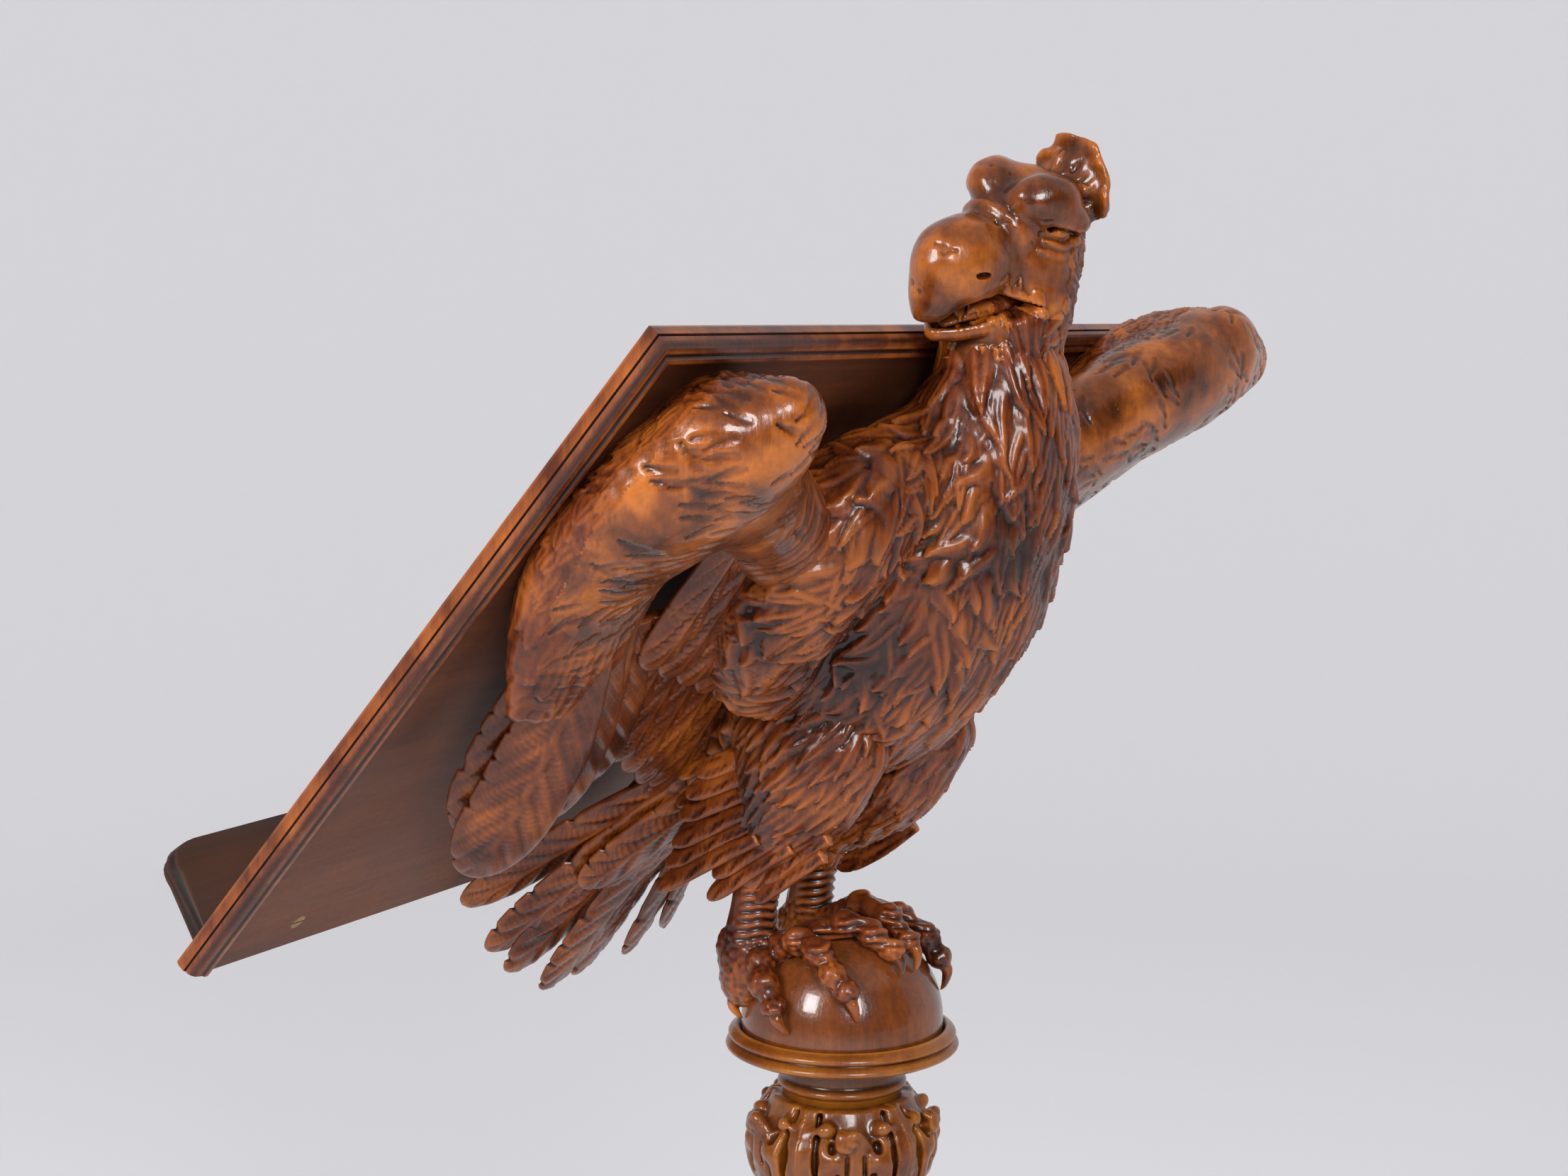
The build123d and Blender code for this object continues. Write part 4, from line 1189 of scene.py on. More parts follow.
    def build(self, finishes: Finishes) -> None:
        """Carve the head and dress it."""
        surface = Surface(*self.lump().skin(grain(self.step)))
        bare_points = surface.points
        local = (bare_points - np.asarray(self.middle)) @ self.axes().T
        dents = Noise(5, 7.0)(bare_points) * 0.4 + Noise(6, 16.0)(bare_points) * 0.6
        crest = smooth(-12, -18, local[:, 0]) * smooth(16, 24, local[:, 2] + 0.35 * local[:, 1])
        dents += crest * Noise(12, 7.0)(bare_points) * 1.3
        pits = smooth(0.55, 0.8, Noise(19, 5.5)(bare_points))
        pits = pits * smooth(0.1, 0.4, Noise(23, 17.0)(bare_points))
        dents -= 0.9 * pits
        surface.points += surface.normals() * dents[:, None]
        p, n = surface.points, surface.normals()
        down = np.array([0.0, -0.05, -1.0]) + np.zeros_like(p)
        back = -self.axes()[0]
        cheek = smooth(-45, -10, local[:, 2])
        flow = unit(down + back * (1.3 * cheek)[:, None]
                    + np.cross(n, down) * (Noise(21, 30.0)(p) * 0.6)[:, None])
        bare = np.maximum(smooth(-14, -2, local[:, 0]) * smooth(-44, -34, local[:, 2]), crest)
        bare = np.maximum(bare, smooth(26, 32, local[:, 0]))
        bare = np.maximum(bare, smooth(14, 20, local[:, 2]) * smooth(-24, -16, local[:, 0]))
        feathers = Plumage(surface, 17)
        size = 0.75 + 0.4 * smooth(0, -70, local[:, 2])
        feathers.lay(self.fringe, flow, 1 - bare, size)
        thing = plumed("carved_head", surface, feathers)
        dress(thing, finishes.carved, Body.TOP, "carved_walnut", "neck_and_head")
        second_finish(thing, finishes.polished, bare[surface.faces].mean(1) > 0.5)


@dataclass
class Wing:
    """A raised wing: the arm, the folded hand and its coverts."""

    side: int
    name: str
    arm: tuple
    hand: tuple
    step: float = 1.7
    scales: Tuft = field(default=Tuft(15, 12, 1.7, 7.5, strands=3, groove=0.7, wave=0.05, bend=0.3,
                                      stray=0.35, point=0.2))
    coverts: Tuft = field(default=Tuft(38, 22, 2.6, 14.0, strands=3, groove=0.6, wave=0.06, bend=0.25,
                                       stray=0.15, point=0.5))
    gouges: Tuft = field(default=Tuft(17, 6.0, 1.5, 7.5, strands=0, groove=0, bend=1.5, stray=0.25))

    def spots(self, rows: Sequence[Sequence[float]], hand: bool) -> list[tuple]:
        """Stations of the arm (u, v, w) or the hand (v, u, w) as limb rows."""
        made = []
        for a, b, w, half, deep in rows:
            u, v = (b, a) if hand else (a, b)
            made.append((*desk(self.side * u, v, w), half, deep))
        return made

    def lump(self) -> Clay:
        """The wing before its feathers."""
        arm, hand = self.spots(self.arm, False), self.spots(self.hand, True)
        rows = np.array(arm + hand)
        clay = Clay(rows[:, :3].min(0) - 60, rows[:, :3].max(0) + 60)
        clay.add(Limb(arm, tuple(UP_SLOPE)))
        clay.add(Limb(hand, (1, 0, 0)), 10)
        clay.keep(Halfspace(desk(0, 0, PANEL + 0.5), -UNDER), 2)
        return clay

    def build(self, finishes: Finishes, seed: int) -> None:
        """Carve the wing and dress it."""
        surface = Surface(*self.lump().skin(grain(self.step)))
        surface.points += surface.normals() * (Noise(seed, 30.0)(surface.points) * 1.3)[:, None]
        p, n = surface.points, surface.normals()
        rel = p - DESK_MIDDLE
        u, v, w = np.abs(rel[:, 0]), rel @ UP_SLOPE, rel @ UNDER
        down = -UP_SLOPE + np.zeros_like(p)
        out = np.array([self.side, 0, 0.0])
        flow = unit(down + out * (0.5 * smooth(230, 120, u) - 0.25 * smooth(120, 0, v))[:, None])
        tip = self.hand[-1][0]
        arm_v = np.interp(u, [row[0] for row in self.arm], [row[1] for row in self.arm])
        outer = smooth(56, 36, w + 0.10 * (u - 230)) * smooth(150, 190, u)
        lower = smooth(tip + 78, tip + 40, v + 0.3 * (w - 40)) * smooth(120, 150, u)
        inner = smooth(196, 160, u) * (1.0 if self.side < 0 else smooth(-4, -22, v - arm_v))
        feathers = Plumage(surface, seed)
        feathers.lay(self.coverts, flow, np.clip(lower + 0.6 * inner, 0, 1))
        feathers.lay(self.scales, flow, np.clip(outer * (1 - lower) + 0.4 * inner, 0, 1))
        feathers.height *= 0.2 + 0.8 * np.clip(outer + lower + inner, 0, 1)
        keep = feathers.height.copy()
        feathers.height[:] = 0
        across = unit(0.45 * flow + self.side * 0.9 * np.cross(n, flow))
        patches = smooth(0.05, 0.35, Noise(seed + 5, 24.0)(p)) * smooth(16, 24, w)
        feathers.lay(self.gouges, across,
                     (1 - lower) * (1 - inner) * patches * (0.15 + 0.85 * smooth(70, 40, w)))
        feathers.height = keep - feathers.height
        thing = plumed(f"carved_{self.name}_wing", surface, feathers)
        dress(thing, finishes.carved, Body.TOP, "carved_walnut", f"{self.name}_wing")
        bare = (1 - outer) * (1 - lower) * (1 - inner) * smooth(24, 44, w)
        patch = bare + 0.18 * Noise(seed + 9, 11.0)(p)
        second_finish(thing, finishes.polished, patch[surface.faces].mean(1) > 0.45)


@dataclass
class FlightFeathers:
    """The long feathers of a wing, in desk coordinates (u, v, w)."""

    side: int
    name: str

    def blade(self, root: Sequence[float], tip: Sequence[float], width: float, seed: int,
              lean: float = 0.0, **more: float) -> tuple[Array, Array]:
        """One feather that faces away from the desk and a little outwards."""
        a = desk(self.side * root[0], root[1], root[2])
        b = desk(self.side * tip[0], tip[1], tip[2])
        face = unit(UNDER + np.array([self.side * lean, 0, 0]))
        return Blade(a, b, face, width, seed=seed, **more).mesh()

    def build(self, finishes: Finishes) -> None:
        """The outer primaries and the inner secondaries, each group one piece."""
        fine = {"along": 150, "across": 34}
        primaries = [
            self.blade((252, 62, 44), (204, -134, 62), 52, 31, 0.9, sweep=7 * self.side, sag=3, **fine),
            self.blade((234, 58, 42), (166, -100, 58), 46, 32, 0.6, sweep=5 * self.side, **fine),
            self.blade((208, 58, 42), (138, -80, 54), 42, 33, 0.4, sweep=4 * self.side, **fine),
            self.blade((186, 60, 42), (114, -60, 50), 42, 36, 0.3, sweep=4 * self.side, **fine),
            self.blade((246, 58, 34), (208, -114, 44), 46, 34, 0.9),
        ]
        thing = carved_object(f"carved_{self.name}_primaries", joined(primaries), 4, 2.6)
        dress(thing, finishes.carved, Body.TOP, "carved_walnut", f"{self.name}_primaries")
        secondaries = []
        for i in range(7):
            u = 66 + 20 * i
            tip = (u - 46 + 3 * i, -112 + 12 * i, 66 - 3 * i)
            secondaries.append(self.blade((u, 70 - 2 * i, 60 - 3 * i), tip, 38, 40 + i, 0.15,
                                          notches=1.2, thick=7.0, root_width=0.8))
        for i in range(6):
            u = 74 + 22 * i
            tip = (u - 26 + 3 * i, -14 + 8 * i, 70 - 3 * i)
            secondaries.append(self.blade((u, 124, 60 - 2 * i), tip, 40, 60 + i, 0.15,
                                          notches=0.8, thick=7.0, root_width=0.8))
        thing = carved_object(f"carved_{self.name}_secondaries", joined(secondaries), 4, 2.2)
        dress(thing, finishes.carved, Body.TOP, "carved_walnut", f"{self.name}_secondaries")


@dataclass
class Tail:
    """The tail: a fan of long feathers over a solid root."""

    fan: tuple = ((-88, 224, 1078, 38), (-66, 224, 1046, 42), (-44, 222, 1024, 44), (-18, 216, 1010, 44),
                  (8, 206, 1012, 42), (34, 186, 1026, 42), (58, 170, 1036, 38))

    def build(self, finishes: Finishes) -> None:
        """Carve the tail and dress it."""
        parts = []
        face = unit((0, -0.72, -0.69))
        for i, (x, y, z, width) in enumerate(self.fan):
            lift = face * (1.5 if i % 2 else -2.5)
            root = np.array([0.3 * x, 84, 1166]) + lift
            parts.append(Blade(root, np.array([x, y, z]) + lift, face + np.array([0.006 * x, 0, 0]),
                               width, thick=6.5, seed=80 + i, sag=-5, notches=3.5, root_width=0.7).mesh())
        for i, x in enumerate((-52, -30, -8, 14, 36)):
            root = np.array([0.4 * x, 80, 1166]) + face * 10
            tip = np.array([x, 166, 1080 + 0.3 * abs(x)]) + face * 9
            parts.append(Blade(root, tip, face + np.array([0.01 * x, 0, 0]), 36, thick=6, seed=90 + i,
                               sag=-3, notches=2.5, root_width=0.7).mesh())
        for i, x in enumerate((-44, -22, 0, 22, 44)):
            root = np.array([0.5 * x, 92, 1176]) - face * 8
            tip = np.array([x, 182, 1078]) - face * 8
            parts.append(Blade(root, tip, -face, 34, thick=6, seed=100 + i, root_width=0.7).mesh())
        thing = carved_object("carved_tail", joined(parts), 4, 1.5)
        dress(thing, finishes.carved, Body.TOP, "carved_walnut", "tail")


@dataclass
class Thigh:
    """A feathered thigh with lance-shaped plumes that point back and down."""

    side: int
    name: str
    lead: float
    step: float = 1.35
    plume: Tuft = field(default=Tuft(27, 10, 3.2, 8.0, strands=2, groove=0.5, wave=0.05, bend=0.3,
                                     stray=0.18, point=1.0))

    def build(self, finishes: Finishes, seed: int) -> None:
        """Carve the thigh with its loose plumes and dress it."""
        s, lead = self.side, self.lead
        rows = [(s * 34, 6 - lead, 1240, 24, 36), (s * 41, 2 - lead, 1212, 32, 46),
                (s * 43, 2 - lead, 1188, 34, 45), (s * 42, 8 - lead, 1165, 31, 39),
                (s * 40, 22 - 0.8 * lead, 1142, 23, 27), (s * 38, 35, 1120, 15.5, 17),
                (s * 38, 37, 1108, 14, 15)]
        clay = Clay((min(0, s * 90), -78, 1086), (max(0, s * 90), 98, 1262))
        clay.add(Limb(rows))
        clay.add(Oval((s * 42, -32 - lead, 1188), (17, 14, 16)), 12)
        surface = Surface(*clay.skin(grain(self.step)))
        p = surface.points
        aim = np.array([0, 0.85, -0.75]) + np.zeros_like(p)
        flow = unit(aim + np.array([0, -0.5, -0.2]) * smooth(1150, 1115, p[:, 2])[:, None])
        feathers = Plumage(surface, seed)
        knee = smooth(24, 14, np.linalg.norm(p - np.array([s * 42, -38 - lead, 1188]), axis=1))
        feathers.lay(self.plume, flow, np.clip(1 - 0.9 * knee, 0, 1))
        body = plumed(f"carved_{self.name}_thigh", surface, feathers)
        dress(body, finishes.carved, Body.TOP, "carved_walnut", f"{self.name}_thigh")
        loose = carved_object(f"{self.name}_thigh_plumes", joined(self.plumes(seed)), 3, 0.9)
        dress(loose, finishes.carved, Body.TOP, "carved_walnut")

    def plumes(self, seed: int) -> list[tuple[Array, Array]]:
        """Three layers of loose plumes: six on the outer side and four behind in each."""
        rng = np.random.default_rng(seed)
        s, lead = self.side, 0.5 * self.lead
        made = []
        for layer in range(3):
            for k in range(6):
                root = np.array([s * (60 - 4 * layer + rng.uniform(-2, 2)), 10 + 3 * k - 20 * layer - lead,
                                 1190 - 11 * k - 4 * layer])
                fall = -0.32 - 0.04 * k - 0.05 * layer + rng.uniform(-0.05, 0.05)
                length = (62 + 4 * k) * (1 - 0.12 * layer)
                way = unit((s * (0.02 - 0.05 * layer), 0.90, fall)) * length
                made.append(self.loose(root, way, (s * 1.0, 0.15, 0.30 + 0.05 * k), 15,
                                       seed + 6 * layer + k))
            for k in range(4):
                root = np.array([s * (40 - 8 * layer), 46 - 8 * layer - lead, 1184 - 13 * k])
                way = unit((s * 0.10, 0.84, -0.45 - 0.05 * k + rng.uniform(-0.06, 0.06))) * (50 + 3 * k)
                made.append(self.loose(root, way, (s * 0.7, 0.3, 0.5), 14, seed + 30 + 4 * layer + k))
        return made

    @staticmethod
    def loose(root: Array, way: Array, face: Sequence[float], width: float,
              seed: int) -> tuple[Array, Array]:
        """One loose plume from its root."""
        return Blade(root, root + way, unit(face), width, thick=5, seed=seed, notches=0.6, sweep=2,
                     root_width=0.8, along=46, across=12).mesh()


@dataclass
class Foot:
    """A scaled shank, knuckled toes and pale claws gripping the ball."""

    side: int
    name: str
    toes: tuple
    step: float = 1.05
    ball_r: float = 62.5
    ball_z: float = 1013.0

    def on_ball(self, azimuth: float, elevation: float, height: float) -> Array:
        """A point above the ball's surface."""
        a, e = np.radians(azimuth), np.radians(elevation)
        r = self.ball_r + height
        flat = r * np.cos(e)
        return np.array([flat * np.cos(a), flat * np.sin(a), self.ball_z + r * np.sin(e)])

    def build(self, finishes: Finishes, seed: int) -> None:
        """Carve the foot and dress it."""
        s = self.side
        low, high = np.array([-94.0, -94, 998]), np.array([94.0, 94, 1134])
        if s < 0:
            high[0] = 40
        else:
            low[0] = -40
        clay = Clay(low, high)
        clay.add(Limb([(s * 38, 45, 1040, 17, 18), (s * 38, 45, 1060, 16, 16.5),
                       (s * 38, 41, 1088, 13.5, 14), (s * 38, 36, 1120, 14.5, 15.5),
                       (s * 38, 36, 1130, 14, 15)]))
        clay.add(Oval((s * 35, 39, 1050), (19, 19, 17)), 8)
        clay.add(Oval((s * 38, 58, 1058), (9, 9, 11)), 6)
        claws = []
        heel, middle = np.array([s * 35, 38, 1054.0]), np.array([0, 0, self.ball_z])
        for knuckles, claw in self.toes:
            spots = [self.on_ball(a, e, h) for a, e, h, r in knuckles]
            radii = [r for a, e, h, r in knuckles]
            rows = [(*heel, 11, 11)] + [(*q, r * 0.86, r * 0.86) for q, r in zip(spots, radii)]
            clay.add(Limb(rows), 4)
            for q, r in zip(spots, radii):
                clay.add(Oval(q + unit(q - middle) * 1.5, (r * 1.12, r * 1.12, r)), 2.5)
            tip, last = self.on_ball(*claw), spots[-1]
            out = unit(last - middle)
            mid = 0.5 * (last + tip) + out * 5.5
            near_tip = 0.3 * mid + 0.7 * tip + out * 1.5
            claws.append(Limb([(*last, 4.6, 4.6), (*mid, 3.6, 3.6), (*near_tip, 2.2, 2.2),
                               (*tip, 0.7, 0.7)]))
        for shape in claws:
            clay.add(shape, 1.2)
        clay.cut(Oval((0, 0, self.ball_z), (self.ball_r - 0.8,) * 3), 1)
        surface = Surface(*clay.skin(grain(self.step)))
        p = surface.points
        n = surface.normals()
        claw_part = np.min([shape(p) for shape in claws], axis=0) < 0.5
        ring = np.sin(2 * np.pi * (p[:, 2] + 1.2 * np.sin(p[:, 0] * 0.3)) / 5.6)
        shank = smooth(1064, 1070, p[:, 2]) * smooth(1126, 1116, p[:, 2]) * smooth(0.3, -0.2, n[:, 1])
        lumps = Noise(seed, 3.2)(p) * 0.75 + Noise(seed + 1, 6.0)(p) * 0.7
        lumps = (1 - shank) * lumps * smooth(1090, 1066, p[:, 2])
        rise = np.where(claw_part, 0, shank * ring * 0.8 + lumps)
        surface.points = p + n * rise[:, None]
        thing = carved_object(f"carved_{self.name}_foot", surface, 4, 0.7)
        dress(thing, finishes.carved, Body.TOP, "carved_walnut", f"{self.name}_foot")
        second_finish(thing, finishes.polished, claw_part[surface.faces].all(1))


RIGHT_TOES = (
    (((150, 36, 8, 8), (160, 27, 9, 8.5), (170, 17, 6, 6.5)), (177, 4, 1)),
    (((170, 52, 9, 8.5), (-170, 47, 9, 9), (-158, 36, 8, 8), (-150, 28, 7, 7)), (-144, 13, 1)),
    (((-150, 66, 9, 8), (-125, 58, 8, 8), (-114, 47, 7, 7)), (-111, 34, 1)),
    (((128, 30, 7, 9), (130, 16, 4, 7)), (132, 3, 1)),
)
LEFT_TOES = (
    (((24, 44, 9, 9), (4, 36, 8, 8.5), (-12, 25, 7, 7)), (-20, 10, 1)),
    (((10, 60, 7, 8.5), (-40, 58, 7, 8.5), (-58, 44, 8, 8), (-61, 32, 7, 7)), (-60, 15, 1)),
    (((0, 70, 7, 8), (-80, 66, 8, 8), (-92, 50, 7, 7)), (-94, 35, 1)),
    (((52, 30, 7, 9), (50, 16, 4, 7)), (48, 3, 1)),
)
RIGHT_ARM = ((40, 118, 66, 27, 25), (112, 119, 64, 27, 25), (165, 138, 46, 31, 28),
             (215, 162, 41, 38, 33), (252, 182, 42, 40, 34), (282, 197, 47, 28, 26))
LEFT_ARM = ((40, 140, 66, 30, 32), (110, 172, 66, 37, 34), (180, 214, 68, 41, 34),
            (250, 248, 72, 42, 34), (304, 262, 74, 26, 24))
RIGHT_HAND = ((224, 262, 60, 22, 20), (200, 264, 52, 38, 32), (165, 264, 41, 50, 36),
              (138, 262, 34, 54, 34), (110, 259, 29, 54, 30), (84, 255, 28, 52, 27),
              (46, 249, 37, 45, 21), (8, 244, 46, 33, 11))
LEFT_HAND = ((276, 266, 70, 28, 24), (226, 254, 52, 50, 40), (140, 244, 38, 54, 38),
             (70, 230, 40, 47, 30), (16, 216, 48, 40, 24), (-20, 208, 54, 34, 18))


@dataclass
class Eagle:
    """The whole bird."""

    def build(self, finishes: Finishes) -> None:
        """Carve every part of the eagle."""
        Trunk().build(finishes)
        Head().build(finishes)
        for side, name, arm, hand, lead, toes in (
                (-1, "right", RIGHT_ARM, RIGHT_HAND, 0.0, RIGHT_TOES),
                (1, "left", LEFT_ARM, LEFT_HAND, 16.0, LEFT_TOES)):
            Wing(side, name, arm, hand).build(finishes, 50 + side)
            FlightFeathers(side, name).build(finishes)
            Thigh(side, name, lead).build(finishes, 70 + side)
            Foot(side, name, toes).build(finishes, 60 + side)
        Tail().build(finishes)


# --- the stand


@dataclass
class Column:
    """The turned column, from the pendant under the hub to the moulded ring."""

    leaves: int = 5

    def knop_leaf(self) -> bpy.types.Object:
        """One share of the carved knop: a curling acanthus leaf with eyed lobes over a core."""
        def on(degrees: float, r: float, z: float, *radii: float) -> tuple[float, ...]:
            """A point at an angle, a radius and a height, with a limb's half sizes."""
            a = np.radians(degrees)
            return (r * np.cos(a), r * np.sin(a), z, *radii)

        def ridge(*rows: Sequence[float]) -> Limb:
            """A limb that is wide along the leaf's width."""
            return Limb(rows, (0, 1, 0))

        clay = Clay((-3, -52, 905), (64, 52, 968))
        core = ((905.5, 34), (915, 39), (928, 46), (942, 49), (951, 45), (959, 38), (967.5, 35))
        clay.add(Limb([(0, 0, z, r, r) for z, r in core]))
        clay.add(ridge(on(0, 39, 906, 11, 6), on(0, 49, 921, 14, 7), on(0, 54, 936, 13, 6),
                       on(-2, 54, 947, 11, 5.5), on(-5, 57, 954, 8, 4.5), on(-7, 58.5, 949, 6, 4)), 5)
        for side in (-1, 1):
            clay.add(ridge(on(side * 10, 42, 906, 9, 6), on(side * 18, 50, 919, 9, 7),
                           on(side * 20, 54, 932, 8, 6), on(side * 13, 56, 939, 6, 5)), 5)
            clay.add(ridge(on(side * 10, 50, 934, 8, 5), on(side * 20, 51.5, 944, 8, 6),
                           on(side * 26, 48, 951, 7, 5), on(side * 20, 50.5, 956, 5.5, 4.5)), 5)
            clay.add(ridge(on(side * 33, 37, 966, 9, 5), on(side * 34, 43, 957, 9, 6),
                           on(side * 33, 52, 943, 9, 6), on(side * 31, 51, 925, 7, 5),
                           on(side * 32, 41, 908, 5, 4)), 4)
            leaning = [[1, 0, 0], [0, 1, 0.12 * side], [0, 0, 1]]
            clay.cut(Oval(on(side * 12, 57, 925), (6, 2.3, 6.5), leaning), 2.5)
            clay.cut(Oval(on(side * 15, 54, 946), (5, 2.6, 3.8)), 2.5)
            clay.cut(ridge(on(side * 27, 42, 962, 1.8, 4), on(side * 26, 53, 944, 2.4, 5),
                           on(side * 25.5, 53, 926, 2.0, 5), on(side * 25, 43, 909, 1.2, 4)), 2.5)
            clay.cut(ridge(on(side * 5.5, 57, 930, 1.0, 3), on(side * 5, 60, 942, 1.2, 3)), 2)
        clay.add(ridge(on(0, 35, 966, 10, 4), on(0, 39, 959, 9, 4), on(0, 46, 951, 6, 4)), 4)
        half = np.pi / self.leaves + 0.01
        for side in (-1, 1):
            clay.keep(Halfspace((0, 0, 930), (-np.sin(half), side * np.cos(half), 0)), 0.01)
        clay.keep(Halfspace((0, 0, 966), (0, 0, 1)), 0.01).keep(Halfspace((0, 0, 907), (0, 0, -1)), 0.01)
        surface = Surface(*clay.skin(grain(1.2)))
        surface.points += surface.normals() * (Noise(41, 7.0)(surface.points) * 0.5)[:, None]
        return carved_object("knop_leaf", surface, 6, 1.3)

    def profiles(self) -> dict[str, list[tuple[float, float]]]:
        """Each turned piece's outline, (radius, height), from the axis round to the axis."""
        made = {}
        made["pendant"] = outline((0, 132), (4.5, 132), (10.8, 135, 12, 141), (28.5, 160, 15, 173),
                                  (30, 180), (34, 185, 30, 190), (0, 190))
        made["baluster"] = outline(
            (0, 322), (46, 322), (52, 329, 46, 336), (38, 339), (30, 348, 34, 356), (56, 418, 34, 496),
            (27, 538, 29, 558), (36, 558), (43, 566, 36, 574), (30, 577), (28, 592, 37, 602), (37, 610),
            (0, 610))
        made["shaft"] = outline(
            (0, 610), (36, 610), (41, 616, 36, 622), (31, 625), (35, 700, 27, 855), (34, 855),
            (39, 861, 34, 867), (27, 870), (24, 885, 34, 897), (36.5, 897), (36.5, 907), (0, 907))
        made["collar"] = outline(
            (0, 966), (37, 966), (37, 970), (40, 973.5, 37, 977), (37, 979), (38.5, 988, 45, 992.5),
            (63.5, 992.5), (66, 993.5), (72.2, 997, 68.6, 1001), (67.4, 1001.4), (70.6, 1004.4, 67, 1008),
            (65.5, 1009), (64.1, 1009), (64.1, 997), (0, 997))
        return made

    def build(self, finishes: Finishes) -> None:
        """Turn every piece of the column."""
        for name, rows in self.profiles().items():
            surface = lathe(rows)
            thing = carved_object(f"turned_{name}", surface, 5, 1.2)
            dress(thing, finishes.turned, Body.STAND, "turned_walnut", name)
        thing = repeated_round("carved_knop", self.knop_leaf(), self.leaves, finishes.turned)
        dress(thing, finishes.turned, Body.STAND, "turned_walnut", "knop")
        ball = [(0, 999), (44, 999), (60.9, 999)]
        ball += [(62.5 * np.cos(e), 1013 + 62.5 * np.sin(e)) for e in np.linspace(-0.21, np.pi / 2, 60)]
        ball[-1] = (0, 1075.5)
        thing = carved_object("turned_ball", lathe(ball), 2, 1.0)
        dress(thing, finishes.ball, Body.TOP, "ball_walnut", "ball")


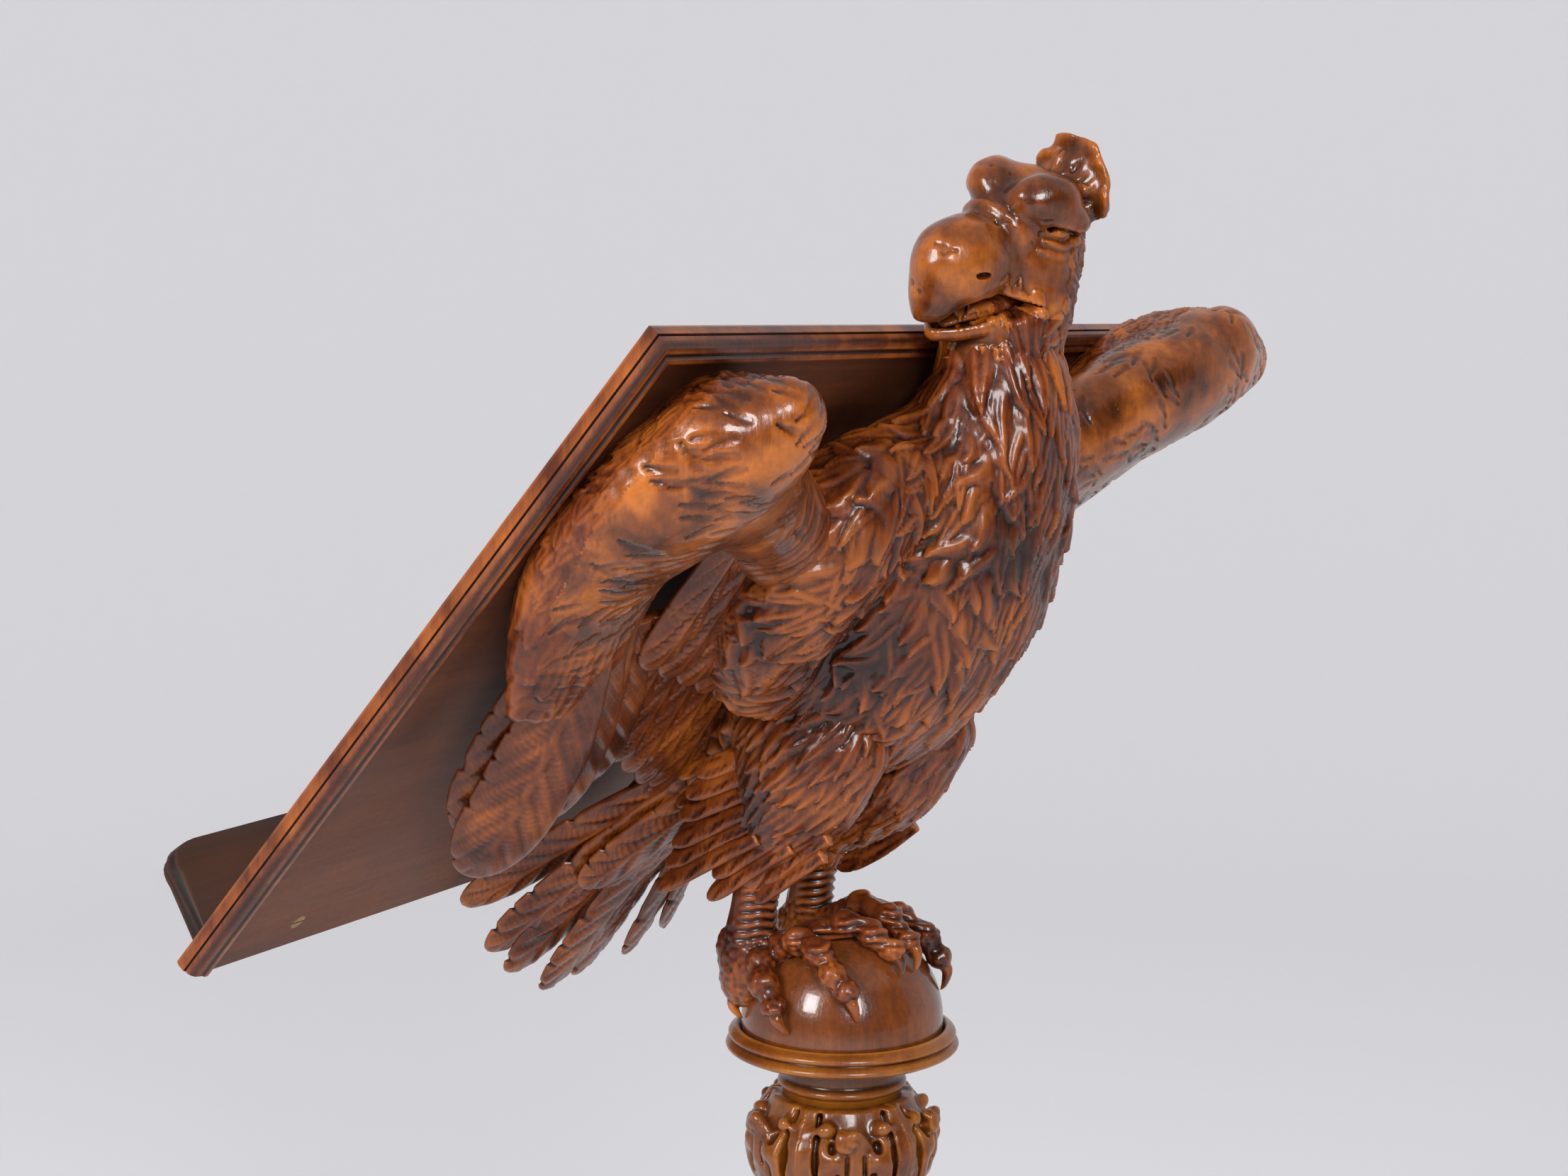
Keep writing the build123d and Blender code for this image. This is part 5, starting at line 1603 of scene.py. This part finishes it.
@dataclass
class Desk:
    """The book desk: mitred mouldings, the panel and the book ledge."""

    # Profile rows are (inset, depth, tone); the tone paints highlight and wear on the arrises and shade in
    # the grooves and coves.
    profile: tuple = (
        (13, 0, 0), (8, 0, 0), (3, 0, 0.9), (0.9, 0.9, 0.9), (0, 3, 0.4), (0, 7.5, 0.7), (1.5, 7.5, -0.9),
        (1.5, 8.5, -0.9), (1.0, 8.5, 0.5), (1.6, 10.6, 0.3), (2.8, 12.2, -0.3), (4.6, 13.4, 0.1),
        (7, 14, 0.6), (8.2, 14.2, -0.7), (9.2, 14.3, -0.9), (10.4, 15.3, 0.4), (12, 15.5, 0.7),
        (13, 15.5, 0.3), (13, 8, 0))

    def run(self, name: str, start: Sequence[float], end: Sequence[float], inward: Sequence[float],
            mitres: tuple[bool, bool]) -> bpy.types.Object:
        """A run of moulding.

        Args:
            name: the piece's name.
            start: the outer corner (u, v) that it starts at.
            end: the outer corner (u, v) that it ends at.
            inward: the way across the moulding, (u, v).
            mitres: whether its start and its end are mitred.

        Returns:
            The object.
        """
        a, b, inn = (np.asarray(q, float) for q in (start, end, inward))
        way = unit(b - a)
        count = 120
        rng = np.random.default_rng(len(name))
        rows, wear_and_painted_light = [], []
        waver = np.convolve(rng.normal(0, 1, count + 8), np.ones(5) / 5, "same")[:count + 1]
        for k in range(count + 1):
            t = k / count
            for inset, depth, tone_shift in self.profile:
                p0 = a + way * (inset if mitres[0] else 0)
                p1 = b - way * (inset if mitres[1] else 0)
                uv = p0 + (p1 - p0) * t + inn * inset
                rows.append(desk(uv[0], uv[1], depth))
                # Painted highlight and wear on the arrises and painted shade in the grooves, wavering along
                # the run.
                wear_and_painted_light.append(tone_shift * (0.7 + 0.5 * waver[k]))
        grid, faces = rings(count + 1, len(self.profile))
        points, faces = np.array(rows), close_caps(faces, grid[0], grid[-1])
        thing = make_object(name, Surface(*outward(points, faces)),
                            {"relief": np.array(wear_and_painted_light), "barb": np.zeros(len(rows))})
        thing.data.polygons.foreach_set("use_smooth", np.zeros(len(faces), bool))
        return thing

    def ledge(self) -> Surface:
        """The book ledge with a thumb-moulded edge."""
        half, deep, taper = 321.0, 56.0, 18.0
        v0 = -DESK_LENGTH / 2 + 15.0
        loop = [(-half, 3.0), (-half, 0.0), (-half + 0.68 * taper, -deep + 20)]
        loop += arc(loop[-1], (-half + taper + 3, -deep + 4), (-half + taper + 24, -deep), 8)
        right = [(-x, y) for x, y in loop[::-1]]
        outer = np.array(loop + [(x, -deep) for x in np.linspace(-270, 270, 28)] + right)
        middle = np.array([0, -20.0])
        # Edge rows are (grow, height, tone); the tone paints highlight and wear on the rounds and shade in
        # the grooves.
        edge = ((0, 0, 0.2), (0.0, 0.6, 0.8), (-1.2, 1.5, 0.8), (0, 3.0, -0.8), (2.0, 6.5, 0.9),
                (0, 10, -0.7), (-1.2, 11.4, 0.8), (-3.0, 13.0, 0.6))
        rows, wear_and_painted_light = [], []
        for grow, height, tone_shift in edge:
            for x, y in outer:
                way = unit(np.array([x, y]) - middle)
                x2, y2 = (x + way[0] * grow, y + way[1] * grow) if y < 0 else (x, y)
                rows.append(desk(x2, v0 + height, y2))
                wear_and_painted_light.append(tone_shift)
        grid, faces = rings(len(edge), len(outer))
        self.wear_and_painted_light = np.array(wear_and_painted_light)
        return Surface(*outward(np.array(rows), close_caps(faces, grid[0], grid[-1])))

    def build(self, finishes: Finishes) -> None:
        """Make the desk's pieces."""
        w, h = DESK_WIDTH / 2, DESK_LENGTH / 2
        runs = (
            ("moulded_top_edge", (-w, h), (w, h), (0, -1), (True, True), "desk_top_moulding"),
            ("moulded_right_edge", (-w, h), (-w, -h), (1, 0), (True, False), "desk_right_moulding"),
            ("moulded_left_edge", (w, h), (w, -h), (-1, 0), (True, False), "desk_left_moulding"),
        )
        for name, start, end, inward, mitres, cad in runs:
            thing = self.run(name, start, end, inward, mitres)
            dress(thing, finishes.moulding, Body.TOP, "moulding_walnut", cad)
        surface = self.ledge()
        thing = make_object("moulded_book_ledge", surface,
                            {"relief": self.wear_and_painted_light, "barb": np.zeros(len(surface.points))})
        dress(thing, finishes.ledge, Body.TOP, "moulding_walnut", "book_ledge")
        for cad, way in (("desk_screws", UNDER), ("ledge_screws", -UNDER)):
            thing = Screws(f"brass_{cad}", cad, way).build(finishes.brass)
            dress(thing, finishes.brass, Body.TOP, "brass", cad)


def dress_frame(finishes: Finishes) -> None:
    """Give the carried-over CAD pieces their finishes."""
    chosen = {
        finishes.board: ("desk_panel", "back_block"),
        finishes.carved: ("front_leg", "rear_left_leg", "rear_right_leg"),
        finishes.turned: ("hub",),
        finishes.beech: ("leg_dowels", "neck_dowel", "tail_dowels", "right_wing_dowels",
                         "left_wing_dowels"),
        finishes.brass: ("swivel_bush", "bearing_washer"),
        finishes.steel: ("swivel_pin",),
        finishes.iron: ("right_leg_rod", "left_leg_rod"),
    }
    for finish, names in chosen.items():
        for name in names:
            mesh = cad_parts[name].data
            mesh.materials.clear()
            mesh.materials.append(finish)


# --- the studio


class Studio:
    """A seamless pale paper bowl, two soft windows and the camera."""

    def paper(self, radius: float = 7.5, bend: float = 3.0, height: float = 7.0) -> None:
        """A floor that curves up into a round wall, open at the top. Metres."""
        rows = [(0.01, 0.0), (radius - bend, 0.0)]
        rows += [(radius - bend + bend * np.sin(a), bend - bend * np.cos(a))
                 for a in np.linspace(0, np.pi / 2, 24)[1:]]
        rows.append((radius, height))
        turns = 96
        angle = np.linspace(0, 2 * np.pi, turns, endpoint=False)
        bowl = np.array(rows)
        spots = np.stack([bowl[:, :1] * np.cos(angle), bowl[:, :1] * np.sin(angle),
                          bowl[:, 1:] + 0 * angle], -1).reshape(-1, 3)
        faces = rings(len(rows), turns)[1]
        thing = make_object("paper_bowl", Surface(spots / MM, faces[:, ::-1]))
        finish = bpy.data.materials.new("pale_paper")
        finish.use_nodes = True
        shader = finish.node_tree.nodes["Principled BSDF"]
        shader.inputs["Base Color"].default_value = linear("#e0dfe1")
        shader.inputs["Roughness"].default_value = 0.95
        shader.inputs["Emission Color"].default_value = linear("#e0e0e3")
        shader.inputs["Emission Strength"].default_value = 0.16
        # The wall on the camera's side is painted dark grey: painted shade standing for the dim room behind
        # the camera.
        dim = bpy.data.materials.new("dim_room")
        dim.use_nodes = True
        dim.node_tree.nodes["Principled BSDF"].inputs["Base Color"].default_value = linear("#55524e")
        thing.data.materials.append(finish)
        middle = spots[faces].mean(1)
        behind = (middle[:, 2] > 0.5) & (middle[:, :2] @ np.array([-0.876, -0.482]) > 1.0)
        second_finish(thing, dim, behind)

    def light(self, name: str, place: Sequence[float], aim: Sequence[float], size: tuple[float, float],
              power: float) -> None:
        """A soft window.

        Args:
            name: the lamp's name.
            place: where it stands, in metres.
            aim: the point it faces.
            size: its width and height.
            power: watts.
        """
        lamp = bpy.data.lights.new(name, "AREA")
        lamp.shape, lamp.size, lamp.size_y = "RECTANGLE", size[0], size[1]
        lamp.energy = power
        thing = bpy.data.objects.new(name, lamp)
        bpy.context.scene.collection.objects.link(thing)
        thing.location = place
        way = np.asarray(aim, float) - np.asarray(place, float)
        thing.rotation_euler = Vector(way).to_track_quat("-Z", "Y").to_euler()

    def build(self) -> None:
        """Set up the studio."""
        self.paper()
        bpy.context.scene.view_settings.view_transform = "Standard"
        world = bpy.data.worlds.new("soft_room")
        bpy.context.scene.world = world
        world.use_nodes = True
        sky = world.node_tree.nodes["Background"]
        sky.inputs[0].default_value = linear("#eeeef1")
        sky.inputs[1].default_value = 0.6
        self.light("window_left", (-4.2, 0.9, 3.1), (0, 0, 1.2), (1.3, 1.6), 175)
        self.light("window_right", (-3.1, -2.9, 3.1), (0, 0, 1.2), (1.2, 1.5), 160)
        camera = bpy.data.cameras.new("camera")
        camera.sensor_width, camera.lens = 36.0, 55.66
        thing = bpy.data.objects.new("camera", camera)
        bpy.context.scene.collection.objects.link(thing)
        thing.location = (-1.3012, -0.6742, 1.4423)
        thing.rotation_euler = (np.radians(90 - 6.32), 0, np.radians(-61.2))
        bpy.context.scene.camera = thing


def main() -> None:
    """Build the lectern's looks and report each piece."""
    logging.basicConfig(level=logging.INFO, format="%(message)s")
    Studio().build()
    finishes = Finishes()
    dress_frame(finishes)
    Column().build(finishes)
    Desk().build(finishes)
    Eagle().build(finishes)


if __name__ == "__main__":
    main()
